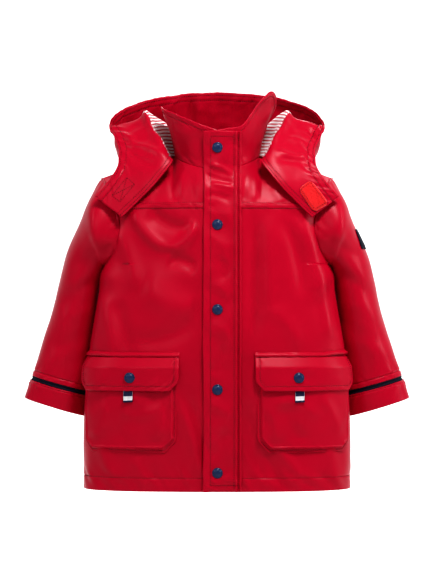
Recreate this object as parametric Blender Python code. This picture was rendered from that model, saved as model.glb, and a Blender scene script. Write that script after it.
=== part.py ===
"""A child's hooded rain jacket of coated cloth, filled out and open at hem, cuffs, neck and hood.

The jacket faces -Y with +Z up, and its wearer's right is -X. Tables and sizes are in millimetres.
The origin is at the height of the neck seam, where the shoulders hold the jacket.
"""

import math

import bmesh
import bpy
import numpy as np
from mathutils.bvhtree import BVHTree

MM = 0.001

# Driving sizes
CLOTH = 1.5  # one ply of coated cloth
TWO_PLY = 2.4
LINING = 1.0
SEAM = 0.4  # clear space between pieces at a seam
HEM_Z = -478.0
YOKE_Z = -66.0
UNDERARM_Z = -150.0
NECK = (62.0, 56.0, 54.0)  # half width, front depth and back depth of the neck seam
NECK_Z = (-14.0, 5.0)  # centre front and side heights of the neck seam
FLAP_X = (-19.0, 35.0)
FLAP_NECK_ZS = (-50, -35, -20, -8, 8, 24, 40)  # closer rows where the flap goes over the neck seam
SNAP_RADIUS = 7.6
SNAP_HEIGHT = 3.2
SNAP_RIM = 1.6
SNAP_DOME = 0.7  # how far the cap's middle stands above its rim
SNAP_ZS = (17.0, -94.5, -216.5, -331.5, -451.0)

# Horizontal sections of the body. squareness is the exponent of the section's superellipse.
BODY = {
    "z": (-478, -415, -350, -275, -226, -180, -150, -115, -90, -66),
    "half_width": (195, 196, 194, 187, 179, 171, 164, 162, 161, 164),
    "front": (74, 75, 76, 77, 77, 75, 73, 71, 69, 66),
    "back": (75, 76, 76, 74, 71, 68, 66, 65, 64, 62),
    "squareness": (2.5, 2.5, 2.5, 2.5, 2.5, 2.45, 2.4, 2.4, 2.4, 2.4),
}
# The armhole's half width on the body, from the underarm up to the yoke seam
ARMHOLE = {
    "z": (-150, -140, -125, -95, -66),
    "front_x": (164, 153, 145, 141, 146),
    "back_x": (164, 157, 150, 147, 150),
}
ARMHOLE_TOP = ((157, -30, -41), (157, 34, -41), (168, 4, -24))  # front, back, shoulder tip
ARMHOLE_GAP = 1.4  # how far the sleeve's top stands off the armhole
COLUMNS = 9  # points across half the body
SIDE_ROWS = 8  # rows of points from hem to underarm
ARMHOLE_ROWS = 6  # rows from there to the yoke seam, and as many again up to the shoulder
YOKE_COLUMNS = 9
NECK_SHARE = {True: 4 / 9, False: 5 / 13}  # how much of the front's and the back's top row is neck seam
SHOULDER_RISE = 4.0  # how far the shoulder seam bows up between neck and tip

# Sections of a sleeve: its outer and inner outline points, the middle's y and the half depth
SLEEVE = {
    "outer_x": (186, 199, 218, 232, 244, 264, 273),
    "outer_z": (-57, -86, -127, -175, -226, -287, -315),
    "inner_x": (167, 168, 169, 174, 178, 187, 190),
    "inner_z": (-152, -156, -172, -208, -250, -312, -338),
    "middle_y": (5, 13, 27, 36, 40, 40, 38),
    "half_depth": (53, 50, 49, 48, 46, 39, 36),
}
SLEEVE_POINTS = 18  # points round a sleeve
PIPING_WIDTH = 6.0
PIPING_EDGE = 0.3  # how far the piping's edges and middle stand out
PIPING_CREST = 1.2
CUFF_END = {"outer": (283, -348), "inner": (193, -375), "middle_y": 37, "half_depth": 33}

# Top edge of the collar by angle from centre front, the wearer's right negative
COLLAR = {
    "angle": (-180, -135, -100, -85, -60, -35, -14, 0, 14, 30, 42, 62, 85, 110, 140, 180),
    "top_z": (44, 54, 72, 78, 69, 57, 47, 42, 44, 49, 66, 98, 88, 66, 52, 44),
    "flare": (6, 10, 18, 22, 20, 13, 7, 6, 7, 11, 16, 25, 27, 20, 10, 6),
}

# Half of the hood laid back, from the centre back (run 0) to the tip of the chin tab (run 1).
# Each row is a section: neck seam or neck edge, crest, fall, fold, rise, rim.
HOOD_RUNS = (0.0, 0.10, 0.20, 0.30, 0.40, 0.50, 0.60, 0.70, 0.80, 0.90, 1.0)
HOOD_SECTIONS = (
    ((0, 59, 4), (0, 72, 18), (0, 90, -50), (0, 114, -140), (0, 148, -40), (0, 122, 112)),
    ((20, 57, 4), (27, 71, 20), (48, 88, -48), (56, 112, -130), (62, 144, -36), (50, 117, 109)),
    ((39, 49, 5), (54, 62, 38), (86, 78, -20), (100, 104, -92), (112, 128, -22), (97, 100, 100)),
    ((54, 38, 7), (76, 46, 59), (107, 61, 10), (128, 84, -28), (146, 92, 14), (139, 62, 80)),
    ((63, 20, 8), (99, 24, 75), (116, 31, 65), (133, 40, 58), (149, 42, 56), (159, 34, 55)),
    ((67, -2, 7), (96, -2, 56), (110, 3, 52), (124, 7, 45), (138, 9, 40), (152, 8, 39)),
    ((67, -26, 3), (82, -24, 30), (98, -21, 27), (114, -17, 24), (130, -14, 21), (144, -12, 20)),
    ((65, -48, -3), (80, -46, 4), (96, -41, 5), (112, -35, 5), (128, -30, 4), (143, -26, 4)),
    ((90, -60, -35), (101, -57, -30), (112, -52, -25), (123, -47, -20), (134, -42, -15), (145, -38, -11)),
    ((114, -58, -60), (123, -56, -54), (132, -53, -48), (141, -50, -42), (150, -48, -37), (158, -45, -32)),
    ((138, -56, -83), (145, -54, -77), (153, -52, -71), (161, -50, -65), (168, -48, -59), (176, -46, -53)),
)
# Shares of a section where the hood's points stand: behind the neck, and on the turned-out fronts.
# The striped lining ends at the eighth of them.
BACK_SHARES = (0, 0.11, 0.22, 0.35, 0.47, 0.56, 0.65, 0.80, 0.85, 0.90, 0.94, 0.97, 1)
FRONT_SHARES = (0, 0.03, 0.06, 0.09, 0.12, 0.14, 0.16, 0.18, 0.22, 0.32, 0.50, 0.75, 1)
LINING_COLUMNS = 8
LINING_END = 0.62  # run at which the lining stops
HOOD_TURN = (0.30, 0.46)  # runs between which the hood goes over from back to front
HOOD_ROWS = 33
TAB_LIFT = 3.4  # how far the chin tabs stand off what they lie on

RED = (0.60, 0.002, 0.012)
NAVY = (0.012, 0.018, 0.075)
STRIPE = (0.80, 0.30, 0.32)


# Curves and sections

def through(xs, ys, x):
    """A smooth curve through the points (xs, ys), read at x."""
    xs = np.asarray(xs, float)
    ys = np.asarray(ys, float)
    slopes = np.gradient(ys, xs, axis=0)
    x = np.clip(np.asarray(x, float), xs[0], xs[-1])
    i = np.clip(np.searchsorted(xs, x, side="right") - 1, 0, len(xs) - 2)
    step = xs[i + 1] - xs[i]
    t = (x - xs[i]) / step
    if ys.ndim > 1:
        t = t[..., None]
        step = step[..., None]
    t2, t3 = t * t, t * t * t
    return (
        (2 * t3 - 3 * t2 + 1) * ys[i]
        + (t3 - 2 * t2 + t) * step * slopes[i]
        + (3 * t2 - 2 * t3) * ys[i + 1]
        + (t3 - t2) * step * slopes[i + 1]
    )


def path(points, count):
    """count points at even distances along a smooth curve through points."""
    points = np.asarray(points, float)
    knots = np.concatenate([[0], np.cumsum(np.linalg.norm(np.diff(points, axis=0), axis=1))])
    return evenly(through(knots, points, np.linspace(0, knots[-1], 240)), count)


def evenly(points, count):
    lengths = np.concatenate([[0], np.cumsum(np.linalg.norm(np.diff(points, axis=0), axis=1))])
    wanted = np.linspace(0, lengths[-1], count)
    return np.stack([np.interp(wanted, lengths, points[:, k]) for k in range(3)], axis=1)


def section(z):
    """Half width, front depth, back depth and squareness of the body at height z."""
    names = ("half_width", "front", "back", "squareness")
    return [float(through(BODY["z"], BODY[name], z)) for name in names]


def arc(z, from_x, to_x, is_front, count):
    """Points on the body's section at height z between two half widths; to_x None is the side seam."""
    half_width, front, back, squareness = section(z)
    depth = -front if is_front else back
    start = math.asin(min(1, from_x / half_width) ** (squareness / 2))
    side = math.acos((SEAM / 2 / abs(depth)) ** (squareness / 2))
    end = side if to_x is None else math.asin(min(1, to_x / half_width) ** (squareness / 2))
    angles = np.linspace(start, min(end, side), 160)
    across = half_width * np.sin(angles) ** (2 / squareness)
    deep = depth * np.cos(angles) ** (2 / squareness)
    return evenly(np.stack([across, deep, np.full(160, z)], axis=1), count)


def armhole_x(z, side):
    return float(through(ARMHOLE["z"], ARMHOLE[side], z)) if z > UNDERARM_Z else None


def armhole_top(is_front, count):
    """The armhole from the yoke seam's height up to the shoulder tip."""
    start = arc(YOKE_Z, SEAM, armhole_x(YOKE_Z, "front_x" if is_front else "back_x"), is_front, 8)[-1]
    tip = np.array(ARMHOLE_TOP[2], float)
    tip[1] += -SEAM / 2 if is_front else SEAM / 2
    return path([start, ARMHOLE_TOP[0 if is_front else 1], tip], count)


def neck_point(angle, out=0.0, up=0.0):
    """A point of the neck seam, at an angle in degrees from centre front."""
    turn = math.radians(angle)
    depth = NECK[1] if math.cos(turn) > 0 else NECK[2]
    rise = (1 - math.cos(turn)) / 2
    height = NECK_Z[0] + (NECK_Z[1] - NECK_Z[0]) * math.sin(min(rise, 0.5) * math.pi)
    return np.array([
        (NECK[0] + out) * math.sin(turn),
        -(depth + out) * math.cos(turn),
        height + up,
    ])


def patch(bottom, top, left, right):
    """A grid filled in from its four edges."""
    u = np.linspace(0, 1, len(bottom))[None, :, None]
    v = np.linspace(0, 1, len(left))[:, None, None]
    across = (1 - v) * bottom[None] + v * top[None]
    along = (1 - u) * left[:, None] + u * right[:, None]
    corners = (1 - v) * ((1 - u) * bottom[0] + u * bottom[-1]) + v * ((1 - u) * top[0] + u * top[-1])
    return across + along - corners


# Walls of cloth

def normals(grid, wraps=False):
    if wraps:
        across = np.roll(grid, -1, axis=1) - np.roll(grid, 1, axis=1)
    else:
        across = np.gradient(grid, axis=1)
    up = np.gradient(grid, axis=0)
    found = np.cross(across, up)
    return found / np.maximum(np.linalg.norm(found, axis=2, keepdims=True), 1e-9)


def wall(name, grid, thickness, colour, roughness=0.42, wraps=False, facing=None, edges=(), turn=1,
         cells=None):
    """A closed wall of cloth under a grid of points.

    facing gives its normals; each row, first, last, direction in edges corrects some of them. cells says
    which quads of the grid are cloth.
    """
    facing = normals(grid, wraps) * turn if facing is None else facing
    for row, first, last, direction in edges:
        facing[row, first:last] = direction / np.linalg.norm(direction, axis=-1, keepdims=True)
    under = grid - facing * thickness
    rows, columns = grid.shape[:2]
    mesh = bmesh.new()
    over, below = ([[mesh.verts.new(p * MM) for p in row] for row in layer] for layer in (grid, under))
    spans = columns if wraps else columns - 1
    cells = np.ones((rows - 1, spans), bool) if cells is None else cells
    rims = {}
    for i, j in zip(*np.nonzero(cells)):
        k = (j + 1) % columns
        corners = [(i, j), (i, k), (i + 1, k), (i + 1, j)]
        # Both layers split on the same diagonal, so that they stay the cloth's thickness apart.
        for triangle in (corners[:3], [corners[0], corners[2], corners[3]]):
            mesh.faces.new([over[a][b] for a, b in triangle])
            mesh.faces.new([below[a][b] for a, b in reversed(triangle)])
        for start, end in zip(corners, corners[1:] + corners[:1]):
            if (end, start) in rims:
                del rims[end, start]
            else:
                rims[start, end] = True
    for (a, b), (c, d) in rims:
        mesh.faces.new([over[a][b], below[a][b], below[c][d], over[c][d]])
    bmesh.ops.delete(mesh, geom=[vertex for vertex in mesh.verts if not vertex.link_faces], context="VERTS")
    bmesh.ops.recalc_face_normals(mesh, faces=mesh.faces)
    return add(name, mesh, colour, roughness)


def add(name, mesh, colour, roughness):
    data = bpy.data.meshes.new(name)
    mesh.to_mesh(data)
    mesh.free()
    data.shade_smooth()
    data.set_sharp_from_angle(angle=math.radians(40))
    material = bpy.data.materials.new(name)
    material.use_nodes = True
    shader = material.node_tree.nodes["Principled BSDF"]
    shader.inputs["Base Color"].default_value = (*colour, 1)
    shader.inputs["Roughness"].default_value = roughness
    shader.inputs["Metallic"].default_value = 0
    data.materials.append(material)
    made = bpy.data.objects.new(name, data)
    bpy.context.scene.collection.objects.link(made)
    return made


def mirrored(grid):
    return grid * np.array([-1, 1, 1])


def both(name, grid, thickness, colour, **options):
    """The same wall for the wearer's left (+X) and right (-X)."""
    edges = options.pop("edges", ())
    facing = options.pop("facing", None)
    turn = options.pop("turn", 1)
    for side, across in (("left", 1), ("right", -1)):
        flip = np.array([across, 1, 1])
        side_edges = [(row, first, last, direction * flip) for row, first, last, direction in edges]
        side_facing = None if facing is None else facing * flip
        wall(f"{name}_{side}", grid * flip, thickness, colour, edges=side_edges, facing=side_facing,
             turn=turn * across, **options)


# What lies on the cloth

def surface_of(*names):
    """A tree of the faces of the named pieces, in millimetres."""
    points, faces = [], []
    for name in names:
        data = bpy.data.objects[name].data
        start = len(points)
        points.extend(tuple(vertex.co / MM) for vertex in data.vertices)
        faces.extend(tuple(start + index for index in face.vertices) for face in data.polygons)
    return BVHTree.FromPolygons(points, faces)


def front_y(tree, x, z):
    """How far forward the cloth reaches at x, z, or None beside it. It looks across seams and edges."""
    for dx, dz in ((0, 0), (0, 1), (0, -1), (1, 0), (-1, 0)):
        hit = tree.ray_cast((x + dx, -400, z + dz), (0, 1, 0))[0]
        if hit is not None:
            return hit[1]
    return None


def on_front(tree, x, z, lift):
    return np.array([x, front_y(tree, x, z) - lift, z])


def on_body(reach, z, lift):
    """A point of the front at an arc length reach from centre front, moved out by lift."""
    half_width, front, back, squareness = section(z)
    angles = np.linspace(0, math.pi, 900)
    depth = np.where(np.cos(angles) > 0, front, back)
    across = half_width * np.sin(angles).clip(0) ** (2 / squareness)
    deep = -depth * np.sign(np.cos(angles)) * np.abs(np.cos(angles)) ** (2 / squareness)
    run = np.concatenate([[0], np.cumsum(np.hypot(np.diff(across), np.diff(deep)))])
    x, y = np.interp(reach, run, across), np.interp(reach, run, deep)
    depth = front if y < 0 else back
    out = np.array([
        abs(x / half_width) ** (squareness - 1) / half_width,
        math.copysign(abs(y / depth) ** (squareness - 1) / depth, y),
        0,
    ])
    return np.array([x, y, z]) + out / np.linalg.norm(out) * lift


# The body

def body_panels():
    side_zs = np.linspace(HEM_Z, UNDERARM_Z, SIDE_ROWS)
    zs = np.concatenate([side_zs, np.linspace(UNDERARM_Z, YOKE_Z - SEAM / 2, ARMHOLE_ROWS)[1:]])
    for is_front in (True, False):
        side = "front_x" if is_front else "back_x"
        lower = np.stack([arc(z, SEAM, armhole_x(z, side), is_front, COLUMNS) for z in zs])
        if is_front:
            both("front", lower, CLOTH, RED, facing=side_facing(normals(lower), -1))
            yoke = upper_patch(True, YOKE_COLUMNS)
            level = normals(yoke)
            level[0, :, 2] = 0
            neck_columns = neck_columns_of(True, YOKE_COLUMNS)
            both("yoke", yoke, CLOTH, RED, facing=level, edges=[
                (0, 0, None, level[0]),
                (-1, neck_columns, None, shoulder_facing(YOKE_COLUMNS - neck_columns)),
            ])
        else:
            upper = upper_patch(False, COLUMNS)
            half = np.concatenate([lower, upper[1:]])
            whole = np.concatenate([mirrored(half[:, :0:-1]), half], axis=1)
            # The two halves meet at the centre back on one column.
            whole[:, COLUMNS - 1, 0] = 0
            seam = shoulder_facing(COLUMNS - neck_columns_of(False, COLUMNS))
            out = side_facing(side_facing(-normals(whole), -1), 0)
            wall("back", whole, CLOTH, RED, facing=out, edges=[
                (-1, 0, len(seam), seam[::-1] * np.array([-1, 1, 1])),
                (-1, -len(seam), None, seam),
            ])


def side_facing(facing, column):
    """At a side seam both panels face straight out."""
    facing[:SIDE_ROWS, column] = (-1 if column == 0 else 1, 0, 0)
    return facing


def neck_columns_of(is_front, columns):
    return int(columns * NECK_SHARE[is_front])


def shoulder_facing(count):
    return np.tile(np.array([0.25, 0.0, 0.97]), (count, 1))


def upper_patch(is_front, columns):
    """The body from the yoke seam up to the neck and shoulder seams, for x above 0."""
    sign = -1 if is_front else 1
    low_z = YOKE_Z + SEAM / 2 if is_front else YOKE_Z
    bottom = arc(low_z, SEAM, armhole_x(YOKE_Z, "front_x" if is_front else "back_x"), is_front, columns)
    rows = ARMHOLE_ROWS
    right = armhole_top(is_front, rows)
    bottom[-1] = right[0] + (0, 0, low_z - YOKE_Z)
    right[0] = bottom[-1]
    neck_columns = neck_columns_of(is_front, columns)
    centre, side = (0, 90) if is_front else (180, 90)
    neck = [neck_point(a) for a in np.linspace(centre, side, neck_columns + 1)]
    neck[0][0] = SEAM
    shoulder = path([neck[-1], (neck[-1] + right[-1]) / 2 + (0, 0, SHOULDER_RISE), right[-1]],
                    columns - neck_columns)
    top = np.array(neck[:-1] + list(shoulder))
    tip_y = right[-1][1] - sign * SEAM / 2
    top[neck_columns:, 1] = np.linspace(0, tip_y, columns - neck_columns) + sign * SEAM / 2
    left = path([bottom[0], (bottom[0] + top[0]) / 2 + (0, sign * 3, 0), top[0]], rows)
    return patch(bottom, top, left, right)


# The sleeves

def armhole_loop(count):
    """The armhole, from the underarm up the front, over the shoulder tip and down the back."""
    halves = []
    for is_front in (True, False):
        side = "front_x" if is_front else "back_x"
        zs = np.linspace(UNDERARM_Z, YOKE_Z, 9)
        low = [arc(z, SEAM, armhole_x(z, side), is_front, 4)[-1] for z in zs]
        halves.append(np.array(low + list(armhole_top(is_front, 9)[1:])))
    half = count // 2 + 1
    front, back = evenly(halves[0], half), evenly(halves[1], half)
    tip, under = (front[-1] + back[-1]) / 2, (front[0] + back[0]) / 2
    return np.concatenate([[under], front[1:-1], [tip], back[-2:0:-1]])


def tube_ring(outer, inner, middle_y, half_depth, count):
    """An oval ring from its inner point, round the front to its outer point and back."""
    outer, inner = np.array([outer[0], 0, outer[1]]), np.array([inner[0], 0, inner[1]])
    centre, reach = (outer + inner) / 2, (outer - inner) / 2
    turns = np.linspace(0, 2 * math.pi, count, endpoint=False)[:, None]
    return centre + (0, middle_y, 0) - reach * np.cos(turns) - np.array([0, half_depth, 0]) * np.sin(turns)


def sleeves():
    count = SLEEVE_POINTS
    loop = armhole_loop(count) + (ARMHOLE_GAP, 0, 0)
    hub = np.array([0, loop[:, 1].mean(), loop[:, 2].mean()])
    radial = (loop - hub) * (0, 1, 1)
    rings = [
        tube_ring((outer_x, outer_z), (inner_x, inner_z), middle_y, half_depth, count)
        for outer_x, outer_z, inner_x, inner_z, middle_y, half_depth in zip(*SLEEVE.values())
    ]
    last = tube_ring(*CUFF_END.values(), count)
    grid = np.array([loop] + rings)
    both("sleeve", grid, CLOTH, RED, wraps=True, edges=[(0, 0, None, radial)])
    run = last - rings[-1]
    length = np.linalg.norm(run, axis=1).mean()
    gap, width = 2 * SEAM / length, PIPING_WIDTH / length
    piping = np.array([rings[-1] + run * share for share in (gap, gap + width / 2, gap + width)])
    centre = piping.mean(axis=1, keepdims=True)
    bulge = np.array([PIPING_EDGE, PIPING_CREST, PIPING_EDGE])[:, None, None]
    spread = (piping - centre) / np.linalg.norm(piping - centre, axis=2, keepdims=True)
    both("piping", piping + spread * bulge, CLOTH, NAVY, wraps=True, roughness=0.8)
    cuff = np.array([rings[-1] + run * share for share in np.linspace(gap * 2 + width, 1, 3)])
    both("cuff", cuff, TWO_PLY, RED, wraps=True)


# The collar, the storm flap and its snaps

def collar():
    angles = np.concatenate([[0.6], np.linspace(12, 348, 25), [359.4]])
    columns = []
    for angle in angles:
        signed = angle if angle <= 180 else angle - 360
        top_z = float(through(COLLAR["angle"], COLLAR["top_z"], signed))
        flare = float(through(COLLAR["angle"], COLLAR["flare"], signed))
        low = neck_point(signed, out=-0.5, up=SEAM + 0.2)
        out = np.array([math.sin(math.radians(signed)), -math.cos(math.radians(signed)), 0])
        columns.append([
            low + (0, 0, (top_z - low[2]) * share) + out * flare * share ** 1.5
            for share in np.linspace(0, 1, 5)
        ])
    wall("collar", np.array(columns).transpose(1, 0, 2), TWO_PLY, RED)


def storm_flap():
    tree = surface_of("front_right", "front_left", "yoke_right", "yoke_left", "collar")
    xs = np.linspace(*FLAP_X, 5)
    zs = np.concatenate([np.linspace(HEM_Z, YOKE_Z, 11), FLAP_NECK_ZS])
    lift = 2 * SEAM + TWO_PLY
    grid = np.array([[on_front(tree, x, z, lift) for x in xs] for z in zs])
    # The flap passes over the neck seam in one soft curve.
    forward = grid[:, :, 1]
    for _ in range(2):
        eased = forward.copy()
        eased[1:-1] = (forward[:-2] + 2 * forward[1:-1] + forward[2:]) / 4
        forward[:] = np.minimum(forward, eased)
    wall("storm_flap", grid, TWO_PLY - SEAM, RED)
    tree = surface_of("storm_flap")
    for number, z in enumerate(SNAP_ZS, 1):
        snap(f"snap_{number}", tree, 0.6, z)


def snap(name, tree, x, z):
    """A domed cap seated on the cloth at x, z."""
    reach = (-SNAP_RADIUS, 0, SNAP_RADIUS)
    ahead = max(-front_y(tree, x + 0.9 * dx, z + 0.9 * dz) for dx in reach for dz in reach)
    mesh = bmesh.new()
    bmesh.ops.create_cone(mesh, cap_ends=True, segments=14, radius1=SNAP_RADIUS * MM,
                          radius2=SNAP_RADIUS * 0.94 * MM, depth=SNAP_HEIGHT * MM)
    top = max(mesh.faces, key=lambda face: face.calc_center_median().z)
    bmesh.ops.inset_region(mesh, faces=[top], thickness=SNAP_RIM * MM)
    bmesh.ops.translate(mesh, verts=top.verts[:], vec=(0, 0, SNAP_DOME * MM))
    made = add(name, mesh, NAVY, 0.3)
    made.rotation_euler = (math.radians(90), 0, 0)
    made.location = (x * MM, (-ahead - SEAM - SNAP_HEIGHT / 2) * MM, z * MM)
    bpy.context.view_layer.update()


# The pockets: widths run along the cloth from centre front

POCKET = {"inner": 58.0, "outer": 204.0, "top": -300.0, "bottom": -422.0, "chamfer": 17.0}
POCKET_FLAP = {"inner": 55.0, "outer": 207.0, "top": -285.0, "bottom": -333.0, "chamfer": 13.0}
POCKET_RAISE = 3.2
POCKET_ZS = (-422.0, -418.0, -411.0, -400.0, -380.0, -355.0, -325.0, -300.0)
POCKET_FLAP_ZS = (-333.0, -328.0, -320.0, -308.0, -296.0, -285.0)
POCKET_SNAP = {"left": 117.5, "right": 125.5}  # distance from the middle
POCKET_SNAP_Z = -314.5
WELT_HEIGHT = 6.0
WELT_LIFTS = (3.0, 3.6, 2.2)  # low edge, middle, high edge
WELT_THICK = 2.0
TAB = {"left": 119.0, "right": 128.0}
TAB_HALF_WIDTH = 6.3
TAB_ZS = (-349.5, -342.0, -335.0)


def bag_lift(reach, z):
    """The bag's face stands off the body a little way in from its sewn edge."""
    edge = min(reach - POCKET["inner"], POCKET["outer"] - reach, z - POCKET["bottom"]) / 8
    return SEAM + POCKET_RAISE * (1 - math.exp(-2.2 * max(edge, 0)))


def pockets():
    def outline(size, z):
        """Left and right ends of a row at height z, with cut-off lower corners."""
        cut = max(0.0, size["bottom"] + size["chamfer"] - z)
        return size["inner"] + cut, size["outer"] - cut

    bag_rows, flap_rows = [], []
    for z in POCKET_ZS:
        left, right = outline(POCKET, z)
        middle = np.linspace(left + 10, right - 10, 7)
        reaches = np.concatenate([[left, left + 4], middle, [right - 4, right]])
        bag_rows.append([on_body(reach, z, bag_lift(reach, z) + CLOTH) for reach in reaches])
    both("pocket_bag", np.array(bag_rows), CLOTH, RED)
    for z in POCKET_FLAP_ZS:
        left, right = outline(POCKET_FLAP, z)
        share = (POCKET_FLAP["top"] - z) / (POCKET_FLAP["top"] - POCKET_FLAP["bottom"])
        lift = SEAM + TWO_PLY + (POCKET_RAISE + CLOTH + 1.6) * min(1, share * 3.2)
        flap_rows.append([on_body(reach, z, lift) for reach in np.linspace(left, right, 10)])
    both("pocket_flap", np.array(flap_rows), TWO_PLY, RED)
    reaches = np.linspace(POCKET_FLAP["inner"], POCKET_FLAP["outer"], 10)
    welt_zs = POCKET_FLAP["top"] + np.linspace(SEAM, WELT_HEIGHT, 3)
    welt = [[on_body(reach, z, SEAM + lift) for reach in reaches] for z, lift in zip(welt_zs, WELT_LIFTS)]
    both("pocket_welt", np.array(welt), WELT_THICK, RED)
    for side, across in (("left", 1), ("right", -1)):
        tree = surface_of(f"pocket_flap_{side}")
        snap(f"pocket_snap_{side}", tree, across * POCKET_SNAP[side], POCKET_SNAP_Z)
        tab(side, across * TAB[side])


def tab(side, x):
    """A folded loop of tape that hangs below the flap on the bag."""
    tree = surface_of(f"pocket_bag_{side}")
    across = (-TAB_HALF_WIDTH, 0, TAB_HALF_WIDTH)
    rows = [[on_front(tree, x + dx, z, SEAM + 1.2) for dx in across] for z in TAB_ZS]
    wall(f"pocket_tab_{side}", np.array(rows), 1.0, NAVY, roughness=0.8)


# The hood

def hood_surface(run, shares):
    """Points of the hood's inner face across a section; run is -1 to 1 from tab tip to tab tip."""
    sections = np.array(HOOD_SECTIONS, float)
    points = through(HOOD_RUNS, sections.reshape(len(HOOD_RUNS), -1), abs(run)).reshape(-1, 3)
    knots = np.linspace(0, 1, len(points))
    found = through(knots, points, shares)
    found[:, 0] *= math.copysign(1, run)
    return found


def hood():
    cloth = surface_of("yoke_right", "yoke_left", "front_right", "front_left", "sleeve_right", "sleeve_left")

    def laid(grid):
        """The chin tabs lie on the yokes and sleeves."""
        for row in grid:
            for point in row:
                ahead = front_y(cloth, point[0], point[2]) if point[2] < 8 and point[1] < 0 else None
                if ahead is not None:
                    point[1] = min(point[1], ahead - TAB_LIFT)
        return grid

    runs = np.linspace(-1, 1, HOOD_ROWS)
    rows = []
    for run in runs:
        turned = np.interp(abs(run), HOOD_TURN, (0, 1))
        rows.append(hood_surface(run, (1 - turned) * np.array(BACK_SHARES) + turned * np.array(FRONT_SHARES)))
    grid = laid(np.array(rows))
    out = -normals(grid)
    wall("hood_shell", grid - out * (LINING + 3 * SEAM), CLOTH, RED, facing=out)
    lined = np.abs((runs[1:] + runs[:-1]) / 2) < LINING_END
    cells = np.ones((len(runs) - 1, grid.shape[1] - 1), bool)
    cells[lined, :LINING_COLUMNS - 1] = False
    wall("hood_facing", grid, LINING, RED, facing=out, cells=cells)
    first, last = np.flatnonzero(lined)[[0, -1]] + (0, 2)
    lining = grid[first:last, :LINING_COLUMNS].copy()
    for edge, beside in ((np.s_[:, -1], np.s_[:, -2]), (np.s_[0], np.s_[1]), (np.s_[-1], np.s_[-2])):
        back = lining[beside] - lining[edge]
        lining[edge] += back / np.linalg.norm(back, axis=-1, keepdims=True) * 3 * SEAM
    wall("hood_lining", lining, LINING, STRIPE, facing=out[first:last, :LINING_COLUMNS], roughness=0.9)


PATCH_CORNERS = (((140, -76), (156, -66)), ((119, -42), (134, -31)))
LABEL_Z = (-128, -100)
LABEL_Y = (-6, 26)


def patches():
    """The loop patch on the left chin tab and the label on the left arm."""
    tree = surface_of("hood_facing")
    corners = np.array(PATCH_CORNERS, float)
    us = np.linspace(0, 1, 4)
    rows = []
    for v in us:
        ends = corners[0] * (1 - v) + corners[1] * v
        rows.append([on_front(tree, *(ends[0] * (1 - u) + ends[1] * u), SEAM + 1.4) for u in us])
    wall("loop_patch", np.array(rows), 1.3, RED, roughness=1.0)
    sleeve = surface_of("sleeve_left")
    rows = []
    for z in np.linspace(*LABEL_Z, 4):
        row = []
        for y in np.linspace(*LABEL_Y, 4):
            hit, normal, _, _ = sleeve.ray_cast((400, y, z), (-1, 0, 0))
            row.append(np.array(hit) + np.array(normal) * (SEAM + 1.9))
        rows.append(row)
    wall("arm_label", np.array(rows), 1.0, NAVY, roughness=0.8)


for item in list(bpy.data.objects):
    bpy.data.objects.remove(item, do_unlink=True)
body_panels()
sleeves()
collar()
storm_flap()
pockets()
hood()
patches()
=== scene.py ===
"""Looks of a child's hooded rain jacket in red coated cloth, filled out and open, seen from the front.

Sizes in the tables are in millimetres; MM turns them into the frame's metres.
"""
import math

import bmesh
import bpy
import numpy as np
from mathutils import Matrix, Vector, noise
from mathutils.bvhtree import BVHTree


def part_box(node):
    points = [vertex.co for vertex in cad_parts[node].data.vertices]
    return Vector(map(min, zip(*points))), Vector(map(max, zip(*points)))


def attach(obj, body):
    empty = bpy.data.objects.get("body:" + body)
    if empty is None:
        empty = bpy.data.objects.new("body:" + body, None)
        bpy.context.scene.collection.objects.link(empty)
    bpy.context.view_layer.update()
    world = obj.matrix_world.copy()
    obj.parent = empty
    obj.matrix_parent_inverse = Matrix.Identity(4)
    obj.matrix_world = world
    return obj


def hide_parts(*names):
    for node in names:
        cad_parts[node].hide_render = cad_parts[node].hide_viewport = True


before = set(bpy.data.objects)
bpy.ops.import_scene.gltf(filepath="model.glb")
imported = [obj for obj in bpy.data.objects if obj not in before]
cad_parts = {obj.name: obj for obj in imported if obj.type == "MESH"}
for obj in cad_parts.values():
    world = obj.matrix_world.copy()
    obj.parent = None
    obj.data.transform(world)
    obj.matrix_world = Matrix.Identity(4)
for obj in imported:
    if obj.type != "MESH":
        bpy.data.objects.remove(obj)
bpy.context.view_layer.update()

MM = 0.001
scene = bpy.context.scene


# The studio. A round of white paper under the jacket, a soft box high in front and a weaker one lower
# on the left, a tall strip at each side, one box behind, and a room that is bright behind the jacket.

CAMERA_DISTANCE = 3.24
CAMERA_HEIGHT = -0.1878
SENSOR_WIDTH = 36
FRAME_DISTANCE = 3.2  # from the camera to where the frame's height is taken
FRAME_HEIGHT = 0.8396  # what the picture takes in, at the front of the jacket
FLOOR_Z = -0.66
ROOM_DIM = (0.2, 0.20)  # forward share of a direction, and the room's light there
ROOM_BRIGHT = (0.95, 1.0)

camera_data = bpy.data.cameras.new("camera")
camera_data.sensor_width = SENSOR_WIDTH
camera_data.lens = SENSOR_WIDTH * FRAME_DISTANCE / FRAME_HEIGHT
camera_data.clip_end = 50
camera = bpy.data.objects.new("camera", camera_data)
camera.location = (0, -CAMERA_DISTANCE, CAMERA_HEIGHT)
camera.rotation_euler = (math.radians(90), 0, 0)
scene.collection.objects.link(camera)
scene.camera = camera
scene.view_settings.view_transform = "Standard"
scene.view_settings.look = "High Contrast"


def soft_box(name, place, target, width, height, power):
    """A rectangular soft light aimed at a point."""
    data = bpy.data.lights.new(name, "AREA")
    data.shape = "RECTANGLE"
    data.size, data.size_y = width, height
    data.energy = power
    box = bpy.data.objects.new(name, data)
    box.location = place
    box.rotation_euler = (Vector(target) - Vector(place)).to_track_quat("-Z", "Y").to_euler()
    scene.collection.objects.link(box)


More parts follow.
